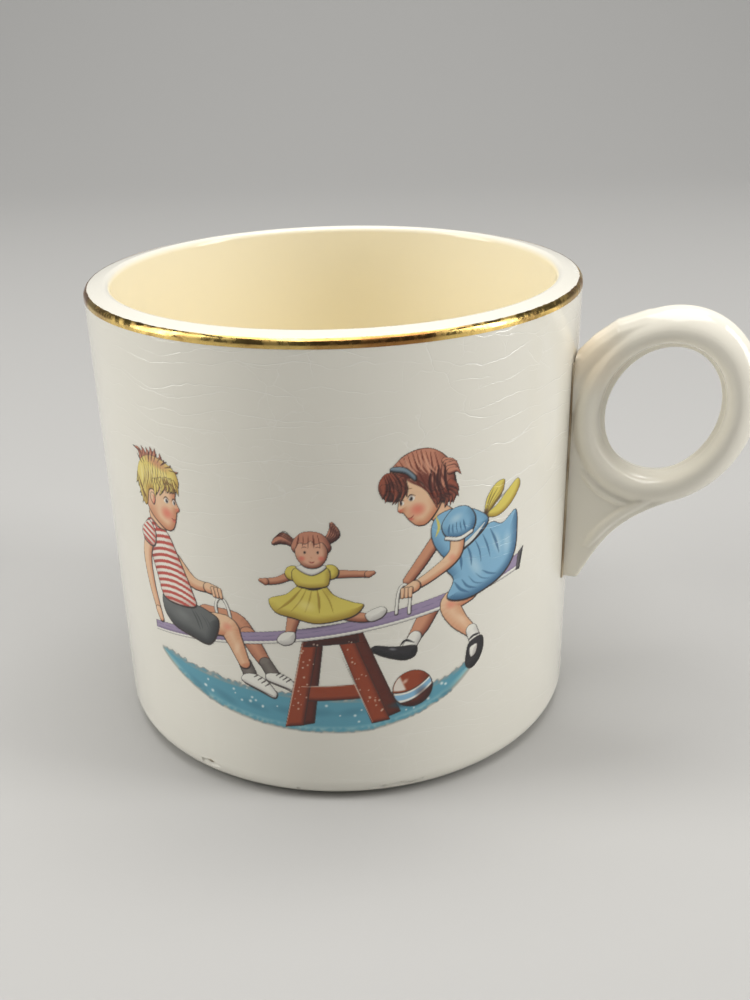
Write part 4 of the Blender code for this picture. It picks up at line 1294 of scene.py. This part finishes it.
# %% [markdown]
# ### Painting the sheet and laying it on the wall
#
# A fine flat grid is the film. The picture is painted on its points as two attributes, a colour
# and a share of ink, which a material can read. The points without ink are deleted, and the rest
# is rolled onto the wall, a hair above the glaze. Its finish is the wall's own glaze with the
# inks mixed in by their share, so where the ink fades out the sheet can't be told from the wall.

# %% Transfer sheet
SHEET_SPACING = 0.13 * MM
SHEET_WIDTH, SHEET_HEIGHT = 68 * MM, 48 * MM
SHEET_MIDDLE = Vector((-1.5, 36.3)) * MM
SHEET_LIFT = 0.03 * MM
LEAST_INK = 0.03
PRINT_TURN = HANDLE_TURN - QUARTER

bpy.ops.object.select_all(action="DESELECT")
bpy.ops.mesh.primitive_grid_add(x_subdivisions=round(SHEET_WIDTH / SHEET_SPACING),
                                y_subdivisions=round(SHEET_HEIGHT / SHEET_SPACING), size=1)
transfer = bpy.context.object
transfer.name = "colour_transfer"
transfer.scale = (SHEET_WIDTH, SHEET_HEIGHT, 1)
transfer.rotation_euler = (QUARTER, 0, 0)
transfer.location = (SHEET_MIDDLE.x, 0, SHEET_MIDDLE.y)
settle(transfer)

places = np.zeros(3 * len(transfer.data.vertices))
transfer.data.vertices.foreach_get("co", places)
places = places.reshape(-1, 3)
picture = Sheet(places[:, 0] / MM, places[:, 2] / MM)
paint_picture(picture)

shown = np.clip(picture.paint / 255, 0, 1)
linear = np.where(shown < 0.04045, shown / 12.92, ((shown + 0.055) / 1.055) ** 2.4)
ink_colour = transfer.data.color_attributes.new("ink_colour", "FLOAT_COLOR", "POINT")
ink_colour.data.foreach_set("color", np.column_stack([linear, np.ones(len(linear))]).ravel())
ink_share = transfer.data.attributes.new("ink_share", "FLOAT", "POINT")
ink_share.data.foreach_set("value", picture.ink)

turns = PRINT_TURN + places[:, 0] / wall_radius(SHEET_MIDDLE.y)
reach = wall_radius(places[:, 2]) + SHEET_LIFT
places[:, 1] = reach * np.sin(turns)
places[:, 0] = AXIS_X + reach * np.cos(turns)
transfer.data.vertices.foreach_set("co", places.ravel())
edit_all(transfer)
bpy.ops.mesh.select_mode(type="VERT")
bpy.ops.mesh.select_all(action="DESELECT")
leave_edit()
transfer.data.vertices.foreach_set("select", picture.ink < LEAST_INK)
bpy.ops.object.mode_set(mode="EDIT")
bpy.ops.mesh.delete(type="VERT")
leave_edit()
smooth_shading(transfer, 60)

# %% Transfer finish
inks = Finish("transfer_inks", roughness=0.08, ior=1.52)
bare, sweat, pitted = glaze_layers(inks)
share = inks.node("Attribute", attribute_name="ink_share").outputs["Fac"]
printed = inks.node("Attribute", attribute_name="ink_colour").outputs["Color"]
inks.finish(inks.blend(share, bare, printed), sweat, pitted)
transfer.data.materials.append(inks.material)
mounted(transfer, "transfer_print")


# %% [markdown]
# ## The handle
#
# The handle was cast in a two-part mould and stuck on: a leaning oval ring of round stock, a web
# that runs from the ring down the wall to a blunt tip, and raised beads on the web's faces. The
# mould's parting line is still there as a soft rib round the inside of the ring. Each of these
# is made as its own simple solid. Then they are joined and remeshed with small voxels, which
# welds them into one skin, and that skin is smoothed, as glaze softens every inner corner.

# %% Handle sizes
RING_OUT = RIM_RADIUS + 13.7 * MM
RING_UP = RIM_HEIGHT - 18.75 * MM
RING_LONG = 14.0 * MM
RING_ACROSS = 11.5 * MM
RING_STOCK = 2.7 * MM
RING_DEPTH = 3.5 * MM
RING_LEAN = math.radians(25)
WEB_HALF = 2.4 * MM
TIP_UP = RING_UP - 30.5 * MM
TIP_OUT = wall_radius(TIP_UP) + 2.5 * MM
HANDLE_VOXEL = 0.22 * MM


def oval(turn_degrees, grow=0.0):
    """A point on the ring's middle line: 0 is its high end, 90 outwards, 180 low, 270 at the wall."""
    turn = math.radians(turn_degrees)
    along = (RING_LONG + grow) * math.cos(turn)
    across = (RING_ACROSS + grow) * math.sin(turn)
    out = along * math.sin(RING_LEAN) + across * math.cos(RING_LEAN)
    up = along * math.cos(RING_LEAN) - across * math.sin(RING_LEAN)
    return Vector((RING_OUT + out, RING_UP + up))


def swept(turns, grow=0.0, steps=24):
    start, end = turns
    return [oval(start + (end - start) * step / steps, grow) for step in range(steps + 1)]


print("ring middle", round(RING_OUT / MM, 1), "out and", round(RING_UP / MM, 1), "up")

# %% [markdown]
# The ring is a torus stretched to the oval and deepened, then leaned outwards. Its outer side is
# thinned, so its stock is fuller towards the hole. The rib is a second, very thin torus on the
# inner edge, set a little low, so that it fades into the stock under the finger.

# %% Ring and rib
def oval_ring(name, long_half, across_half, stock, depth, lift=0.0, slack=0.0):
    """A leaning oval torus. Slack thins its outer side, so that its crest moves towards the hole."""
    bpy.ops.object.select_all(action="DESELECT")
    mean = (long_half + across_half) / 2
    bpy.ops.mesh.primitive_torus_add(
        major_segments=144, minor_segments=36, major_radius=mean, minor_radius=stock,
        location=(AXIS_X + RING_OUT, 0, RING_UP + lift), rotation=(QUARTER, 0, 0))
    ring = bpy.context.object
    ring.name = name
    for vertex in ring.data.vertices:
        vertex.co.z *= 1 - slack * (vertex.co.xy.length - mean) / stock
    ring.scale = (across_half / mean, long_half / mean, depth / stock)
    lean = Matrix.Rotation(RING_LEAN, 4, "Y") @ Matrix.Rotation(QUARTER, 4, "X")
    ring.rotation_euler = lean.to_euler()
    settle(ring)
    return ring


ring = oval_ring("ring", RING_LONG, RING_ACROSS, RING_STOCK, RING_DEPTH, slack=0.26)
rib_reach = RING_STOCK - 0.1 * MM
rib = oval_ring("rib", RING_LONG - rib_reach, RING_ACROSS - rib_reach, 0.72 * MM, 0.62 * MM, -0.35 * MM)

# %% [markdown]
# The web is a flat outline filled and thickened: down the wall, across the blunt tip, and up a
# hollow curve to the ring's underside. The curve is a Bezier from the tip's steep side to the
# ring's gentle one. The plate's edges are rounded with a bevel before it is joined.

# %% Web plate
WEB_FROM = 128
WEB_TO = 285
UNDER_RING = oval(WEB_FROM, RING_STOCK * 0.8)
STEEP = Vector((math.cos(math.radians(65)), math.sin(math.radians(65))))
GENTLE = Vector((math.cos(math.radians(24)), math.sin(math.radians(24))))
STEEP_RUN = 10.1 * MM
GENTLE_RUN = 11.5 * MM


def hollow_edge(inset=0.0, steps=40):
    """The web's lower edge, from the tip to the ring, moved in towards the web by inset."""
    tip = Vector((TIP_OUT, TIP_UP))
    knots = (tip, tip + STEEP * STEEP_RUN, UNDER_RING - GENTLE * GENTLE_RUN, UNDER_RING)
    line = interpolate_bezier(*[knot.to_3d() for knot in knots], steps + 1)
    moved = []
    for here, after in zip(line, line[1:] + [line[-1] * 2 - line[-2]]):
        forward = (after - here).normalized()
        moved.append(Vector((here.x - forward.y * inset, here.y + forward.x * inset)))
    return moved


def filled_plate(name, outline, half_thickness):
    """A flat plate across the handle, from an outline of (out from the axis, up)."""
    plate = drawn_line(name, outline, closed=True)
    edit_all(plate)
    bpy.ops.mesh.edge_face_add()
    bpy.ops.mesh.extrude_region_move(TRANSFORM_OT_translate={"value": (0, 2 * half_thickness, 0)})
    bpy.ops.mesh.select_all(action="SELECT")
    bpy.ops.transform.translate(value=(0, -half_thickness, 0))
    bpy.ops.mesh.normals_make_consistent(inside=False)
    leave_edit()
    return plate


buried = RIM_RADIUS - WALL
web_outline = [Vector((buried, TIP_UP))] + hollow_edge()
web_outline += swept((WEB_FROM, WEB_TO), 0.0, 40)
web_outline.append(Vector((buried, web_outline[-1].y)))
web = filled_plate("web", web_outline, WEB_HALF)
apply_modifier(web, "BEVEL", width=0.9 * MM, segments=3, limit_method="ANGLE", angle_limit=math.radians(50))

# %% [markdown]
# Two beads stand on each face of the web: one follows the ring like its shadow, and one follows
# the hollow edge down to the tip and turns in. Each is a short tube along a curve, thinner
# towards its ends. Between them and the pad a shallow three-sided panel is left.

# %% Beads and root
def bead(name, line, radius, across, even=False):
    """A tube along a line on one face of the web, tapering at both ends unless it is even."""
    bpy.ops.object.select_all(action="DESELECT")
    bpy.ops.curve.primitive_nurbs_path_add()
    tube = bpy.context.object
    tube.name = name
    tube.data.splines.clear()
    spline = tube.data.splines.new("POLY")
    spline.points.add(len(line) - 1)
    last = len(line) - 1
    for index, (knot, point) in enumerate(zip(spline.points, line)):
        knot.co = (AXIS_X + point.x, across, point.y, 1)
        knot.radius = 1.0 if even else min(1.0, 0.35 + 3.2 * min(index, last - index) / last)
    tube.data.bevel_depth = radius
    tube.data.bevel_resolution = 5
    tube.data.use_fill_caps = True
    pick(tube)
    bpy.ops.object.convert(target="MESH")
    merge_and_face_out(bpy.context.object)
    return bpy.context.object


lower_line = hollow_edge(1.75 * MM, 40)[9:36]
turn_in = [lower_line[0] + Vector((-0.5, 0.25)) * MM, lower_line[0] + Vector((-1.1, 1.1)) * MM]
lower_line = turn_in[::-1] + lower_line
shadow_line = swept((166, 206), 2.5 * MM, 20)
beads = []
for side in (-1, 1):
    face = side * (WEB_HALF - 0.10 * MM)
    beads.append(bead("shadow_bead", shadow_line, 0.7 * MM, face))
    beads.append(bead("edge_bead", lower_line, 0.78 * MM, face))

# %% [markdown]
# Where the ring meets the wall the clay was pressed on and smeared up with a wet finger, so the
# ring's round stock runs on into the wall. A second length of the same stock, along a flatter
# curve, fills that corner.

# %% Root of the ring
root_line = [oval(332), oval(318, 0.25 * MM), Vector((47.2, 67.9)) * MM, Vector((44.3, 65.6)) * MM,
             Vector((41.4, 62.4)) * MM, Vector((39.2, 58.4)) * MM, Vector((38.2, 53.5)) * MM]
root = bead("root", root_line, RING_STOCK - 0.05 * MM, 0.0, even=True)
root.scale.y = 1.12
settle(root)

# %% Weld and smooth the handle
ring_handle = ring
pick(ring_handle)
for part in (rib, web, root, *beads):
    part.select_set(True)
bpy.ops.object.join()
ring_handle.name = "ring_handle"
apply_modifier(ring_handle, "REMESH", mode="VOXEL", voxel_size=HANDLE_VOXEL)
apply_modifier(ring_handle, "SMOOTH", factor=0.5, iterations=10)

# %% [markdown]
# The handle's pad is cut to the cup, as the potter shaves it to fit. The cutter is a
# cone with the wall's own slight taper, a hair larger than the glazed wall.

# %% Fit the handle to the wall
PAD_GAP = 0.26 * MM


def wall_cone(name, clearance, low, high):
    """A closed cone on the cup's axis that follows the wall at a clearance."""
    bpy.ops.object.select_all(action="DESELECT")
    bpy.ops.mesh.primitive_cone_add(
        vertices=360, radius1=wall_radius(low) + clearance, radius2=wall_radius(high) + clearance,
        depth=high - low, location=(AXIS_X, 0, (low + high) / 2))
    cone = bpy.context.object
    cone.name = name
    settle(cone)
    return cone


fitting_cone = wall_cone("fitting_cone", PAD_GAP, TIP_UP - 5 * MM, RIM_HEIGHT + 2 * MM)
apply_modifier(ring_handle, "BOOLEAN", operation="DIFFERENCE", object=fitting_cone, solver="EXACT")
bpy.data.objects.remove(fitting_cone)
merge_and_face_out(ring_handle, 0.01 * MM)
smooth_shading(ring_handle, 40)
ring_handle.data.materials.clear()
ring_handle.data.materials.append(handle_glaze)
mounted(ring_handle, "handle")
corners = [Vector(corner) for corner in ring_handle.bound_box]
reach_out = max(corner.x for corner in corners)
thickness = max(corner.y for corner in corners) - min(corner.y for corner in corners)
print("handle reaches", round(reach_out / MM, 1), "mm and is", round(thickness / MM, 1), "mm thick")

# %% [markdown]
# ## The slip that holds the handle
#
# A line of liquid clay glued the pad to the wall. It has squeezed out a little at each side and
# has stained brown along the join with use. The line is a narrow grid of faces pressed onto the
# glaze, made ragged at its sides, and given a thickness.

# %% Slip line
slip_low = TIP_UP + 0.2 * MM
slip_high = oval(WEB_TO)[1] - 1.0 * MM
SLIP_HALF = WEB_HALF + 0.75 * MM
SLIP_THICKNESS = 0.24 * MM
SLIP_RAGGED = 0.10 * MM

bpy.ops.object.select_all(action="DESELECT")
bpy.ops.mesh.primitive_grid_add(x_subdivisions=24, y_subdivisions=160, size=1)
slip_line = bpy.context.object
slip_line.name = "slip_line"
slip_line.scale = (2 * SLIP_HALF, slip_high - slip_low, 1)
slip_line.rotation_euler = (QUARTER, 0, QUARTER)
slip_line.location = (AXIS_X + RIM_RADIUS + 2 * MM, 0, (slip_low + slip_high) / 2)
settle(slip_line)
for vertex in slip_line.data.vertices:
    ragged = SLIP_RAGGED * noise.noise(Vector((0.0, vertex.co.y * 200, vertex.co.z * 900)))
    vertex.co.y += math.copysign(ragged, vertex.co.y) * abs(vertex.co.y) / SLIP_HALF
apply_modifier(slip_line, "SHRINKWRAP", target=glazed_cup, wrap_method="PROJECT", use_project_x=True,
               use_negative_direction=True, use_positive_direction=True, offset=0.02 * MM)
apply_modifier(slip_line, "SOLIDIFY", thickness=SLIP_THICKNESS, offset=1.0)
merge_and_face_out(slip_line, 0.001 * MM)
smooth_shading(slip_line, 60)
stain = Finish("stained_slip", roughness=0.55)
stain_place = stain.moved(stain.place, scale=(1, 1, 0.4))
stain_amount = stain.ramp(stain.clouds(stain_place, 420.0, 4.0), 0.35, 0.65)
stain_colour = stain.blend(stain_amount, (0.56, 0.48, 0.35), (0.30, 0.22, 0.13))
stain.finish(stain_colour, normal=stain.bump(stain.clouds(stain.place, 1500.0, 3.0), 0.05 * MM, 0.7))
slip_line.data.materials.append(stain.material)
mounted(slip_line, "handle_slip")
